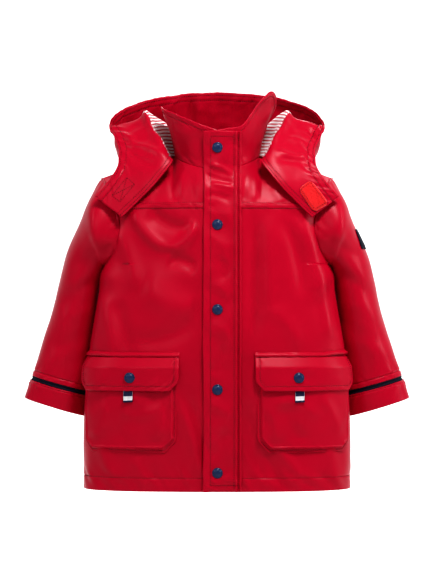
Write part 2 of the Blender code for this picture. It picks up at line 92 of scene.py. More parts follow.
soft_box("key_box", (0.38, -0.95, 1.22), (0, 0, -0.05), 0.42, 0.36, 21)
soft_box("front_box", (-0.9, -2.2, 0.9), (0, 0, -0.05), 0.8, 0.8, 7)
soft_box("side_strip", (1.9, -0.3, 0.5), (0.15, 0, -0.1), 0.3, 1.2, 12)
soft_box("left_strip", (-1.9, -0.7, 0.8), (-0.15, 0, -0.05), 0.3, 1.0, 7)
soft_box("back_box", (0.3, 2.2, 1.5), (0, 0, -0.15), 1.2, 1.0, 16)

# The room is bright behind the jacket, where the paper is lit, and dim on the other sides
room = bpy.data.worlds.new("room")
room.use_nodes = True
nodes, links = room.node_tree.nodes, room.node_tree.links
room_way = nodes.new("ShaderNodeTexCoord")
room_axes = nodes.new("ShaderNodeSeparateXYZ")
room_ramp = nodes.new("ShaderNodeValToRGB")
room_ramp.color_ramp.elements[0].position = ROOM_DIM[0]
room_ramp.color_ramp.elements[0].color = (ROOM_DIM[1], ROOM_DIM[1], ROOM_DIM[1], 1)
room_ramp.color_ramp.elements[1].position = ROOM_BRIGHT[0]
room_ramp.color_ramp.elements[1].color = (ROOM_BRIGHT[1], ROOM_BRIGHT[1], ROOM_BRIGHT[1], 1)
links.new(room_way.outputs["Generated"], room_axes.inputs["Vector"])
links.new(room_axes.outputs["Y"], room_ramp.inputs["Fac"])
links.new(room_ramp.outputs["Color"], nodes["Background"].inputs["Color"])
scene.world = room

paper = bpy.data.materials.new("paper")
paper.use_nodes = True
shader = paper.node_tree.nodes["Principled BSDF"]
shader.inputs["Base Color"].default_value = (0.62, 0.62, 0.62, 1)
shader.inputs["Roughness"].default_value = 0.95
shader.inputs["Specular IOR Level"].default_value = 0.05
shader.inputs["Emission Color"].default_value = (1, 1, 1, 1)
# Behind the jacket the paper is lit evenly to white
paper_nodes, paper_links = paper.node_tree.nodes, paper.node_tree.links
paper_place = paper_nodes.new("ShaderNodeTexCoord")
paper_axes = paper_nodes.new("ShaderNodeSeparateXYZ")
paper_glow = paper_nodes.new("ShaderNodeMapRange")
paper_glow.interpolation_type = "SMOOTHSTEP"
paper_glow.inputs["From Min"].default_value = -0.1
paper_glow.inputs["From Max"].default_value = 0.55
paper_glow.inputs["To Min"].default_value = 0.12
paper_glow.inputs["To Max"].default_value = 1.0
paper_links.new(paper_place.outputs["Object"], paper_axes.inputs["Vector"])
paper_links.new(paper_axes.outputs["Y"], paper_glow.inputs["Value"])
paper_links.new(paper_glow.outputs["Result"], shader.inputs["Emission Strength"])
sweep_mesh = bpy.data.meshes.new("paper_sweep")
SWEEP_RADIUS = 6.0
SWEEP_POINTS = 64
ring = [(SWEEP_RADIUS * math.cos(a), SWEEP_RADIUS * math.sin(a), FLOOR_Z)
        for a in np.linspace(0, 2 * math.pi, SWEEP_POINTS, endpoint=False)]
sweep_mesh.from_pydata(ring, [], [list(range(SWEEP_POINTS))])
sweep_mesh.materials.append(paper)
sweep = bpy.data.objects.new("paper_sweep", sweep_mesh)
scene.collection.objects.link(sweep)


# The body: two fronts, two front yokes and a one-piece back, of woven cloth with a semi-gloss coat of
# colour on its face. The seams are sewn and topstitched, and the hem is turned up and stitched once.

CLOTH = 1.3
MIDDLE = 0.001  # centre back, kept just clear of zero
STITCH_LIFT = 0.1  # how far thread lies off the cloth
RED = (0.43, 0.0, 0.026)
HEM_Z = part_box("back")[0][2] / MM
YOKE_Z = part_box("yoke_left")[0][2] / MM
UNDERARM_Z = -150.0
SEAM = 0.4
STITCH_RUN = 3.1  # one stitch and its gap
HEM_STITCH = 19.0  # above the hem

# Horizontal sections of the body, as superellipses
BODY = {
    "z": (-478, -415, -350, -275, -226, -180, -150, -115, -90, -66),
    "half_width": (195, 196, 194, 187, 179, 171, 164, 162, 161, 164),
    "front": (74, 75, 76, 77, 77, 75, 73, 71, 69, 66),
    "back": (75, 76, 76, 74, 71, 68, 66, 65, 64, 62),
    "squareness": (2.5, 2.5, 2.5, 2.5, 2.5, 2.45, 2.4, 2.4, 2.4, 2.4),
}
ARMHOLE = {
    "z": (-150, -140, -125, -95, -66),
    "front_x": (164, 153, 145, 141, 146),
    "back_x": (164, 157, 150, 147, 150),
}
ARMHOLE_TOP = ((157, -30, -41), (157, 34, -41), (168, 4, -24))
SHOULDER_RISE = 4.0
NECK = (62.0, 56.0, 54.0)
NECK_Z = (-14.0, 5.0)


def through(xs, ys, x):
    """A smooth curve through the points (xs, ys), read at x."""
    xs = np.asarray(xs, float)
    ys = np.asarray(ys, float)
    slopes = np.gradient(ys, xs, axis=0)
    x = np.clip(np.asarray(x, float), xs[0], xs[-1])
    i = np.clip(np.searchsorted(xs, x, side="right") - 1, 0, len(xs) - 2)
    step = xs[i + 1] - xs[i]
    t = (x - xs[i]) / step
    if ys.ndim > 1:
        t = t[..., None]
        step = step[..., None]
    t2, t3 = t * t, t * t * t
    return ((2 * t3 - 3 * t2 + 1) * ys[i] + (t3 - 2 * t2 + t) * step * slopes[i]
            + (3 * t2 - 2 * t3) * ys[i + 1] + (t3 - t2) * step * slopes[i + 1])


def evenly(points, count):
    """count points at even distances along straight runs between points."""
    lengths = np.concatenate([[0], np.cumsum(np.linalg.norm(np.diff(points, axis=0), axis=1))])
    wanted = np.linspace(0, lengths[-1], count)
    return np.stack([np.interp(wanted, lengths, points[:, k]) for k in range(3)], axis=1)


def path(points, count):
    """count points at even distances along a smooth curve through points."""
    points = np.asarray(points, float)
    knots = np.concatenate([[0], np.cumsum(np.linalg.norm(np.diff(points, axis=0), axis=1))])
    return evenly(through(knots, points, np.linspace(0, knots[-1], 12 * count)), count)


def section(z):
    """Half width, front, back and squareness of the body at height z."""
    names = ("half_width", "front", "back", "squareness")
    return [float(through(BODY["z"], BODY[name], z)) for name in names]


def arc(z, from_x, to_x, is_front, count):
    """Points on the body's section at height z between two half widths; to_x None is the side seam."""
    half_width, front, back, squareness = section(z)
    depth = -front if is_front else back
    start = math.asin(min(1, from_x / half_width) ** (squareness / 2))
    side = math.acos((SEAM / 2 / abs(depth)) ** (squareness / 2))
    end = side if to_x is None else math.asin(min(1, to_x / half_width) ** (squareness / 2))
    angles = np.linspace(start, min(end, side), 4 * count)
    across = half_width * np.sin(angles) ** (2 / squareness)
    deep = depth * np.cos(angles) ** (2 / squareness)
    return evenly(np.stack([across, deep, np.full(4 * count, float(z))], axis=1), count)


def armhole_x(z, side):
    """Half width of the body at the armhole, or None below the underarm, where it runs to the side seam."""
    return float(through(ARMHOLE["z"], ARMHOLE[side], z)) if z > UNDERARM_Z else None


def armhole_top(is_front, count):
    """The armhole's edge from the yoke seam up to the shoulder tip."""
    start = arc(YOKE_Z, SEAM, armhole_x(YOKE_Z, "front_x" if is_front else "back_x"), is_front, 24)[-1]
    tip = np.array(ARMHOLE_TOP[2], float)
    tip[1] += -SEAM / 2 if is_front else SEAM / 2
    return path([start, ARMHOLE_TOP[0 if is_front else 1], tip], count)


def neck_point(angle, out=0.0, up=0.0):
    """A point of the neck seam, at an angle in degrees from centre front."""
    turn = math.radians(angle)
    depth = NECK[1] if math.cos(turn) > 0 else NECK[2]
    rise = (1 - math.cos(turn)) / 2
    height = NECK_Z[0] + (NECK_Z[1] - NECK_Z[0]) * math.sin(min(rise, 0.5) * math.pi)
    return np.array([(NECK[0] + out) * math.sin(turn), -(depth + out) * math.cos(turn), height + up])


def patch(bottom, top, left, right):
    """A grid filled in from its four edges."""
    u = np.linspace(0, 1, len(bottom))[None, :, None]
    v = np.linspace(0, 1, len(left))[:, None, None]
    across = (1 - v) * bottom[None] + v * top[None]
    along = (1 - u) * left[:, None] + u * right[:, None]
    corners = (1 - v) * ((1 - u) * bottom[0] + u * bottom[-1]) + v * ((1 - u) * top[0] + u * top[-1])
    return across + along - corners


def upper_patch(is_front, columns, rows):
    """The body from the yoke seam up to the neck and shoulder seams, for x above 0."""
    sign = -1 if is_front else 1
    bottom = arc(YOKE_Z, SEAM, armhole_x(YOKE_Z, "front_x" if is_front else "back_x"), is_front, columns)
    right = armhole_top(is_front, rows)
    bottom[-1] = right[0]
    neck_columns = round(columns * 0.42)
    neck = [neck_point(a) for a in np.linspace(0 if is_front else 180, 90, neck_columns + 1)]
    neck[0][0] = SEAM
    shoulder = path([neck[-1], (neck[-1] + right[-1]) / 2 + (0, 0, SHOULDER_RISE), right[-1]],
                    columns - neck_columns)
    shoulder[:, 1] += sign * SEAM / 2 * (1 - np.linspace(0, 1, len(shoulder)))
    top = np.array(neck[:-1] + list(shoulder))
    left = path([bottom[0], (bottom[0] + top[0]) / 2 + (0, sign * 3, 0), top[0]], rows)
    return patch(bottom, top, left, right)


def normals(grid, wraps=False):
    """Which way a grid faces at each of its points."""
    if wraps:
        across = np.roll(grid, -1, axis=1) - np.roll(grid, 1, axis=1)
    else:
        across = np.gradient(grid, axis=1)
    found = np.cross(across, np.gradient(grid, axis=0))
    return found / np.maximum(np.linalg.norm(found, axis=2, keepdims=True), 1e-9)


def softened(grid, times):
    """Neighbouring points eased together, with the edges left alone."""
    for _ in range(times):
        grid[:, 1:-1] = (2 * grid[:, 1:-1] + grid[:, :-2] + grid[:, 2:]) / 4
        grid[1:-1] = (2 * grid[1:-1] + grid[:-2] + grid[2:]) / 4
    return grid


def creases(a, b, rows):
    """Height of the folds at points a, b. A row is from_a, from_b, to_a, to_b, bow, width, height."""
    total = np.zeros(np.shape(a))
    for from_a, from_b, to_a, to_b, bow, width, height in rows:
        length = math.hypot(to_a - from_a, to_b - from_b)
        run_a, run_b = (to_a - from_a) / length, (to_b - from_b) / length
        t = ((a - from_a) * run_a + (b - from_b) * run_b) / length
        inside = np.clip(t, 0, 1)
        away = (b - from_b) * run_a - (a - from_a) * run_b - 4 * bow * inside * (1 - inside)
        fade = np.clip(np.minimum(t, 1 - t) / 0.3 + 0.25, 0, 1)
        total += height * fade * fade * (3 - 2 * fade) * np.exp(-(away / width) ** 2)
    return total


def ripple(grid, size, height, seed):
    """Slow, uneven undulation of cloth, in a height for each point."""
    flat = grid.reshape(-1, 3) / size + seed * 7.31
    return np.array([noise.noise(Vector(p)) for p in flat]).reshape(grid.shape[:2]) * height


def as_piece(name, mesh, material):
    """A smooth object from a finished mesh."""
    data = bpy.data.meshes.new(name)
    mesh.to_mesh(data)
    mesh.free()
    data.shade_smooth()
    data.materials.append(material)
    piece = bpy.data.objects.new(name, data)
    scene.collection.objects.link(piece)
    return piece


def cloth(name, grid, thickness, material, wraps=False, out=None, cells=None):
    """A closed shell of cloth with rounded edges.

    The grid is its outer face, out is that face's facing, and cells marks the quads that are kept.
    """
    out = normals(grid, wraps) if out is None else out
    rows, columns = grid.shape[:2]
    mesh = bmesh.new()
    over = [[mesh.verts.new(p * MM) for p in row] for row in grid]
    below = [[mesh.verts.new(p * MM) for p in row] for row in grid - out * thickness]
    spans = columns if wraps else columns - 1
    cells = np.ones((rows - 1, spans), bool) if cells is None else cells
    rims = {}
    for i, j in zip(*np.nonzero(cells)):
        k = (j + 1) % columns
        corners = [(i, j), (i, k), (i + 1, k), (i + 1, j)]
        mesh.faces.new([over[a][b] for a, b in corners])
        mesh.faces.new([below[a][b] for a, b in reversed(corners)])
        for start, end in zip(corners, corners[1:] + corners[:1]):
            if (end, start) in rims:
                del rims[end, start]
            else:
                rims[start, end] = (i, j)
    round_edge = {}
    for (start, end), (i, j) in rims.items():
        k = (j + 1) % columns
        middle = (grid[i, j] + grid[i, k] + grid[i + 1, k] + grid[i + 1, j]) / 4
        for corner in (start, end):
            away = grid[corner] - middle
            away -= out[corner] * (away @ out[corner])
            round_edge[corner] = round_edge.get(corner, 0) + away / max(np.linalg.norm(away), 1e-9)
    ring = {}
    for corner, away in round_edge.items():
        away = away / max(np.linalg.norm(away), 1e-9)
        rounded = grid[corner] - out[corner] * thickness / 2 + away * thickness * 0.4
        ring[corner] = mesh.verts.new(rounded * MM)
    for start, end in rims:
        mesh.faces.new([over[start[0]][start[1]], ring[start], ring[end], over[end[0]][end[1]]])
        mesh.faces.new([ring[start], below[start[0]][start[1]], below[end[0]][end[1]], ring[end]])
    bmesh.ops.delete(mesh, geom=[vertex for vertex in mesh.verts if not vertex.link_faces], context="VERTS")
    bmesh.ops.recalc_face_normals(mesh, faces=mesh.faces)
    return as_piece(f"{name}_cloth", mesh, material)


def finish(name, roughness=None):
    """A new material, its nodes and its shader."""
    material = bpy.data.materials.new(name)
    material.use_nodes = True
    shader = material.node_tree.nodes["Principled BSDF"]
    if roughness is not None:
        shader.inputs["Roughness"].default_value = roughness
    return material, material.node_tree, shader


def texture(tree, kind, scale, detail=None):
    """A texture fixed to the cloth, as the output that varies."""
    place = tree.nodes.new("ShaderNodeTexCoord")
    pattern = tree.nodes.new(f"ShaderNodeTex{kind}")
    pattern.inputs["Scale"].default_value = scale
    if detail is not None:
        pattern.inputs["Detail"].default_value = detail
    tree.links.new(place.outputs["Object"], pattern.inputs["Vector"])
    return pattern.outputs["Fac" if kind == "Noise" else "Distance"]


def tinted(tree, shader, pattern, dark, light):
    """Colour that goes from dark to light with the pattern."""
    tint = tree.nodes.new("ShaderNodeMix")
    tint.data_type = "RGBA"
    tint.inputs["A"].default_value = (*dark, 1)
    tint.inputs["B"].default_value = (*light, 1)
    tree.links.new(pattern, tint.inputs["Factor"])
    tree.links.new(tint.outputs["Result"], shader.inputs["Base Color"])


def glossed(tree, shader, pattern, smooth, rough):
    """Roughness that goes from smooth to rough with the pattern."""
    gloss = tree.nodes.new("ShaderNodeMapRange")
    gloss.inputs["To Min"].default_value = smooth
    gloss.inputs["To Max"].default_value = rough
    tree.links.new(pattern, gloss.inputs["Value"])
    tree.links.new(gloss.outputs["Result"], shader.inputs["Roughness"])


def dented(tree, shader, pattern, strength, distance):
    """Fine relief from the pattern."""
    dents = tree.nodes.new("ShaderNodeBump")
    dents.inputs["Strength"].default_value = strength
    dents.inputs["Distance"].default_value = distance
    tree.links.new(pattern, dents.inputs["Height"])
    tree.links.new(dents.outputs["Normal"], shader.inputs["Normal"])


def coated_cloth(name, colour, roughness):
    """Woven cloth under a semi-gloss coat: faint grain, slow changes of gloss, a slightly uneven colour."""
    material, tree, surface = finish(name)
    grain = texture(tree, "Noise", 1300, 3)
    cloudy = texture(tree, "Noise", 22, 4)
    glossed(tree, surface, cloudy, roughness - 0.05, roughness + 0.06)
    tinted(tree, surface, cloudy, [c * 0.93 for c in colour], [min(1, c * 1.06) for c in colour])
    dented(tree, surface, grain, 0.10, 0.0002)
    surface.inputs["Specular IOR Level"].default_value = 0.17
    return material


def thread(name, colour):
    """Twisted sewing thread, matt, with its twist a little darker."""
    material, tree, surface = finish(name, 0.7)
    twist = tree.nodes.new("ShaderNodeTexNoise")
    twist.inputs["Scale"].default_value = 4000
    tinted(tree, surface, twist.outputs["Fac"], [c * 0.7 for c in colour], colour)
    return material


def tree_of(*pieces):
    """A tree of the pieces' faces, in millimetres."""
    points, faces = [], []
    for piece in pieces:
        start = len(points)
        points.extend(tuple(vertex.co / MM) for vertex in piece.data.vertices)
        faces.extend(tuple(start + index for index in face.vertices) for face in piece.data.polygons)
    return BVHTree.FromPolygons(points, faces)


def front_y(tree, x, z):
    """How far forward the cloth reaches at x, z, or None beside it. It looks across seams."""
    for dx, dz in ((0, 0), (0, 1), (0, -1), (1.5, 0), (-1.5, 0)):
        hit = tree.ray_cast((x + dx, -400, z + dz), (0, 1, 0))[0]
        if hit is not None:
            return hit[1]
    return None


def sewn(name, lines, material, run=STITCH_RUN, thick=0.62, share=0.70):
    """Rows of stitches as one joined mesh. A line is (points, facing): where it runs and which way is out."""
    corners, faces = [], []
    for points, facing in lines:
        lengths = np.concatenate([[0], np.cumsum(np.linalg.norm(np.diff(points, axis=0), axis=1))])
        if lengths[-1] < run:
            continue
        middles = np.arange(run / 2, lengths[-1], run)
        read = lambda values, at: np.stack([np.interp(at, lengths, values[:, k]) for k in range(3)], axis=1)
        heads = read(points, middles - run * share / 2)
        tails = read(points, middles + run * share / 2)
        outs = read(facing, middles)
        for head, tail, out in zip(heads, tails, outs):
            across = np.cross(tail - head, out)
            across /= max(np.linalg.norm(across), 1e-9)
            centre = (head + tail) / 2 + out * thick * 0.35
            start = len(corners)
            corners += [head, tail, centre + across * thick, centre - across * thick,
                        centre + out * thick, centre - out * thick]
            faces += [[start + k for k in face] for face in
                      ((0, 4, 2), (0, 3, 4), (0, 2, 5), (0, 5, 3), (1, 2, 4), (1, 4, 3), (1, 5, 2), (1, 3, 5))]
    data = bpy.data.meshes.new(name)
    data.from_pydata(np.array(corners) * MM, [], faces)
    data.materials.append(material)
    piece = bpy.data.objects.new(name, data)
    scene.collection.objects.link(piece)
    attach(piece, "root")
    return piece


def line_on(tree, points):
    """A line laid on the cloth in front, through points (x, z)."""
    return laid_line(tree, [(x, -400, z) for x, z in points], [(0, 1, 0)] * len(points))


def laid_line(tree, starts, ways):
    """A line laid where rays from starts, going ways, meet the cloth."""
    laid, facing = [], []
    for start, way in zip(starts, ways):
        hit, normal, _, _ = tree.ray_cast(tuple(start), tuple(way))
        if hit is not None:
            laid.append(np.array(hit) + np.array(normal) * STITCH_LIFT)
            facing.append(np.array(normal))
    return np.array(laid).reshape(-1, 3), np.array(facing).reshape(-1, 3)


def read_rows(grid, shares):
    """The grid's rows, read at shares of its height."""
    at = np.asarray(shares) * (len(grid) - 1)
    low = np.clip(at.astype(int), 0, len(grid) - 2)
    t = (at - low)[:, None, None]
    return grid[low] * (1 - t) + grid[low + 1] * t


def pucker(along, away, pitch, reach, height, seed, lean=0.6):
    """Small uneven gathers beside a row of stitches, slanting by lean."""
    flat = np.stack([((along + lean * away) / pitch).ravel(), (away / (4 * pitch)).ravel()], axis=1)
    wave = np.array([noise.noise(Vector((u, v, seed * 3.7))) for u, v in flat]).reshape(np.shape(along))
    return wave * height * np.exp(-(away / reach) ** 2)


def step(value, low, high):
    """0 up to low, 1 from high on, and smooth between."""
    t = np.clip((value - low) / (high - low), 0, 1)
    return t * t * (3 - 2 * t)


def run_along(grid):
    """How far along its row each point is, in millimetres."""
    steps = np.linalg.norm(np.diff(grid, axis=1), axis=2)
    return np.concatenate([np.zeros((len(grid), 1)), np.cumsum(steps, axis=1)], axis=1)


def piece_of_cloth(piece, node):
    """Attaches a sheet to the root and hides the part it stands for."""
    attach(piece, "root")
    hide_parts(node)


# Folds of the front, the back and the yokes: from x, z, to x, z, bow, width, height
FRONT_FOLDS = (
    (-121, -74, -70, -131, -7, 9, 3.6),
    (-73, -131, -30, -92, -8, 9, 3.4),
    (-98, -72, -38, -100, -9, 12, -4.2),
    (-150, -96, -118, -190, 8, 12, 2.6),
    (-70, -146, -30, -158, 4, 10, -3.4),
    (-104, -176, -30, -214, -12, 21, 3.4),
    (-30, -235, -120, -262, 9, 13, -2.0),
    (-170, -190, -150, -290, 4, 11, 2.0),
    (-148, -205, -128, -282, 2, 12, -2.0),
    (-58, -342, -24, -462, 6, 9, 2.6),
    (-40, -345, -12, -452, 4, 8, -2.4),
    (-120, -430, -104, -478, 3, 9, 1.8),
    (-176, -400, -150, -474, 4, 10, 2.2),
    (52, -74, 50, -262, 5, 13, -3.8),
    (78, -78, 76, -220, -4, 14, 1.6),
    (119, -84, 146, -206, 7, 12, 4.0),
    (98, -88, 124, -196, 5, 10, -2.6),
    (147, -168, 163, -262, 2, 8, 2.6),
    (72, -214, 120, -270, 7, 11, 1.8),
    (44, -350, 66, -462, -4, 9, -2.2),
    (74, -404, 120, -470, 6, 9, 2.4),
    (60, -420, 96, -476, 4, 7, -1.8),
    (160, -395, 178, -474, -3, 10, 2.0),
)
BACK_FOLDS = (
    (-120, -80, -60, -190, 14, 15, 3.2),
    (118, -84, 52, -206, -16, 15, 3.4),
    (-70, -120, 60, -150, -12, 17, -3.0),
    (-150, -120, -128, -250, 6, 12, 2.6),
    (148, -110, 132, -262, -6, 12, 2.8),
    (-40, -250, 70, -292, -10, 19, 2.6),
    (-130, -300, -40, -350, 9, 17, -2.4),
    (60, -330, 140, -400, 8, 14, 2.2),
    (-20, -360, -48, -474, 4, 11, 2.6),
    (22, -380, 40, -476, -4, 12, -2.2),
    (104, -400, 118, -476, 3, 10, 2.2),
    (-120, -390, -104, -476, -4, 11, 2.2),
)
FOLD_DEPTH = 1.35
UNDERARM_BULGE = 4.0
YOKE_STRIP = (-70.8, -63.2)  # the topstitched strip along the yoke seam
STRIP_HEIGHT = 0.9


def relief(grid, is_front):
    """How far the body's cloth stands out from its filled form, with nothing at the side seams."""
    x, y, z = grid[..., 0], grid[..., 1], grid[..., 2]
    folds = FOLD_DEPTH * creases(x, z, FRONT_FOLDS if is_front else BACK_FOLDS)
    uneven = ripple(grid, 70, 2.2, 1) + ripple(grid, 26, 0.35, 2)
    beside_seam = step(np.abs(y), 0, 26)
    away = z - HEM_Z - HEM_STITCH
    hem = pucker(np.arctan2(x, -y) * 130, away, 11, 15, 2.3, 4) + 0.6 * (1 - step(away, -0.8, 0.8))
    hem -= 0.6 * np.exp(-(away / 1.3) ** 2)
    below, above = (step(z, edge - 0.6, edge + 0.6) for edge in YOKE_STRIP)
    strip = below * (1 - above)
    groove = np.exp(-((z - YOKE_STRIP[0]) / 0.9) ** 2) + np.exp(-((z - YOKE_STRIP[1]) / 0.9) ** 2)
    across_strip = z - (YOKE_STRIP[0] + YOKE_STRIP[1]) / 2
    seam = STRIP_HEIGHT * strip - 0.45 * groove + pucker(x, across_strip, 7, 7, 0.9, 5)
    return (folds + uneven * step(z, HEM_Z - 60, HEM_Z + 30)) * beside_seam + hem + (seam if is_front else 0)


def underarm_fulness(grid):
    """The body's cloth bulges against the sleeve just below the underarm."""
    near = np.exp(-((grid[..., 2] - UNDERARM_Z + 16) / 15) ** 2) * step(np.abs(grid[..., 0]), 120, 158)
    grid[..., 0] += np.sign(grid[..., 0]) * UNDERARM_BULGE * near
    return grid


red_cloth = coated_cloth("red_coated_cloth", RED, 0.38)
red_thread = thread("red_thread", (0.15, 0.0, 0.008))

FRONT_COLUMNS = 72
side_zs = np.concatenate([
    np.linspace(HEM_Z, HEM_Z + 26, 22),
    np.linspace(HEM_Z + 30, UNDERARM_Z, 88),
    np.linspace(UNDERARM_Z, UNDERARM_Z + 12, 30)[1:],
    np.linspace(UNDERARM_Z + 15, YOKE_Z - 9, 22),
])
body_pieces = {}
for side, across in (("left", 1), ("right", -1)):
    front_zs = np.concatenate([side_zs, np.linspace(YOKE_Z - 8.2, YOKE_Z - SEAM / 2, 12)])
    grid = np.stack([arc(z, SEAM, armhole_x(z, "front_x"), True, FRONT_COLUMNS) for z in front_zs])
    grid = grid * (across, 1, 1)
    out = normals(grid) * across
    grid = underarm_fulness(grid + out * relief(grid, True)[..., None])
    body_pieces[side] = cloth(f"front_{side}", grid, CLOTH, red_cloth, out=out)
    piece_of_cloth(body_pieces[side], f"front_{side}")

back_zs = np.concatenate([side_zs, np.linspace(YOKE_Z - 6, YOKE_Z, 4)])
half = np.stack([arc(z, MIDDLE, armhole_x(z, "back_x"), False, FRONT_COLUMNS) for z in back_zs])
half = np.concatenate([half, upper_patch(False, FRONT_COLUMNS, 30)[1:]])
half[:, 0, 0] = 0
grid = np.concatenate([half[:, :0:-1] * (-1, 1, 1), half], axis=1)
out = -normals(grid)
grid = underarm_fulness(grid + out * (relief(grid, False) * step(5 - grid[..., 2], 0, 30))[..., None])
body_pieces["back"] = cloth("back", grid, CLOTH, red_cloth, out=out)
piece_of_cloth(body_pieces["back"], "back")


# The front yokes: one piece each side of coated cloth from the armhole to the opening, joined to the
# front below by a seam that is pressed up and topstitched on both edges.

YOKE_FOLDS = (
    (-46, -60, -50, -18, 2, 5, 2.2),
    (-60, -62, -66, -24, 2, 5, -2.0),
    (-34, -60, -36, -20, 1, 4, -1.6),
    (-100, -62, -90, -38, 2, 8, 2.0),
    (52, -60, 56, -24, -2, 5, 2.0),
    (40, -62, 42, -20, 1, 4, -1.8),
    (96, -62, 84, -38, 2, 8, 2.0),
)
yoke_shares = np.concatenate([np.linspace(0, 0.16, 14), np.linspace(0.2, 1, 32)])
for side, across in (("left", 1), ("right", -1)):
    grid = read_rows(upper_patch(True, 72, 60), yoke_shares) * (across, 1, 1)
    out = normals(grid) * across
    folds = 0.6 * creases(grid[..., 0], grid[..., 2], YOKE_FOLDS)
    grid = grid + out * ((relief(grid, True) + folds) * step(2 - grid[..., 2], 0, 18))[..., None]
    body_pieces[f"yoke_{side}"] = cloth(f"yoke_{side}", grid, CLOTH, red_cloth, out=out)
    piece_of_cloth(body_pieces[f"yoke_{side}"], f"yoke_{side}")


# The sleeves: set in all round the armhole, each a tube of the same cloth. A navy piping is caught in
# the seam above the turned-up cuff, and a small tuck is stitched round the sleeve just above it.

SLEEVE = {
    "outer_x": (186, 199, 218, 232, 244, 264, 273),
    "outer_z": (-57, -86, -127, -175, -226, -287, -315),
    "inner_x": (167, 168, 169, 174, 178, 187, 190),
    "inner_z": (-152, -156, -172, -208, -250, -312, -338),
    "middle_y": (5, 13, 27, 36, 40, 40, 38),
    "half_depth": (53, 50, 49, 48, 46, 39, 36),
}
CUFF_END = {"outer": (283, -348), "inner": (193, -375), "middle_y": 37, "half_depth": 33}
ARMHOLE_GAP = 0.7
PIPING_WIDTH = 6.0
PIPING_START = 0.8
TUCK_FROM_PIPING = 7.5
# Folds by x (wearer's left), z on the front of the sleeve, and others on its back
SLEEVE_FOLDS = (
    (150, -118, 214, -146, 6, 9, 3.6),
    (158, -140, 222, -182, 7, 9, -3.4),
    (176, -166, 232, -206, 6, 10, 3.4),
    (182, -206, 240, -238, 7, 10, -2.8),
    (180, -226, 246, -270, -6, 12, 3.0),
    (196, -262, 262, -296, 6, 10, -2.4),
    (204, -250, 226, -330, 4, 9, 2.2),
    (190, -70, 206, -130, 5, 10, 2.0),
)
SLEEVE_BACK_FOLDS = (
    (152, -100, 216, -140, 7, 11, 3.4),
    (168, -150, 236, -190, -8, 12, -3.2),
    (178, -200, 244, -232, 8, 11, 3.2),
    (186, -250, 256, -276, -6, 11, 2.6),
    (200, -280, 262, -312, 5, 10, -2.2),
)
SLEEVE_FOLD_DEPTH = 0.5
SLEEVE_POINTS = 112
SLEEVE_GIRTH = 300
FOLD_SHIFT = {"left": (0, 0), "right": (4, 9)}  # so that the two sleeves fold unlike each other
CUFF_GIRTH = 260
CUFF_THICK = 2.2
PIPING_THICK = 1.4


def armhole_loop(count):
    """The armhole, from the underarm up the front, over the shoulder tip and down the back."""
    halves = []
    for is_front in (True, False):
        side = "front_x" if is_front else "back_x"
        zs = np.linspace(UNDERARM_Z, YOKE_Z, 30)
        low = [arc(z, SEAM, armhole_x(z, side), is_front, 8)[-1] for z in zs]
        halves.append(np.array(low + list(armhole_top(is_front, 30)[1:])))
    front, back = (evenly(line, count // 2 + 1) for line in halves)
    tip, under = (front[-1] + back[-1]) / 2, (front[0] + back[0]) / 2
    return np.concatenate([[under], front[1:-1], [tip], back[-2:0:-1]])


def tube_ring(outer, inner, middle_y, half_depth):
    """An oval ring from its inner point, round the front to its outer point and back."""
    outer, inner = np.array([outer[0], 0, outer[1]]), np.array([inner[0], 0, inner[1]])
    centre, reach = (outer + inner) / 2, (outer - inner) / 2
    turns = np.linspace(0, 2 * math.pi, SLEEVE_POINTS, endpoint=False)[:, None]
    return centre + (0, middle_y, 0) - reach * np.cos(turns) - np.array([0, half_depth, 0]) * np.sin(turns)


loop = armhole_loop(SLEEVE_POINTS) + (ARMHOLE_GAP, 0, 0)
rings = np.array([loop] + [
    tube_ring((ox, oz), (ix, iz), y, deep) for ox, oz, ix, iz, y, deep in zip(*SLEEVE.values())
])
last_ring = tube_ring(*CUFF_END.values())
ring_gaps = np.linalg.norm(np.diff(rings, axis=0), axis=2).mean(axis=1)
sleeve_knots = np.concatenate([[0], np.cumsum(ring_gaps)])
sleeve_length = sleeve_knots[-1]
sleeve_at = np.concatenate([
    np.linspace(0, 10, 9),
    np.linspace(13, sleeve_length - 16, 74),
    np.linspace(sleeve_length - 14, sleeve_length, 20),
])
smooth_rings = through(sleeve_knots, rings.reshape(len(rings), -1), sleeve_at).reshape(-1, SLEEVE_POINTS, 3)
cuff_run = last_ring - rings[-1]
cuff_length = np.linalg.norm(cuff_run, axis=1).mean()

navy_tape, tape_tree, tape_shader = finish("navy_tape", 0.8)
tape_weave = texture(tape_tree, "Voronoi", 1500)
tinted(tape_tree, tape_shader, tape_weave, (0.012, 0.013, 0.030), (0.004, 0.004, 0.012))
dented(tape_tree, tape_shader, tape_weave, 0.5, 0.0003)
tape_shader.inputs["Specular IOR Level"].default_value = 0.25

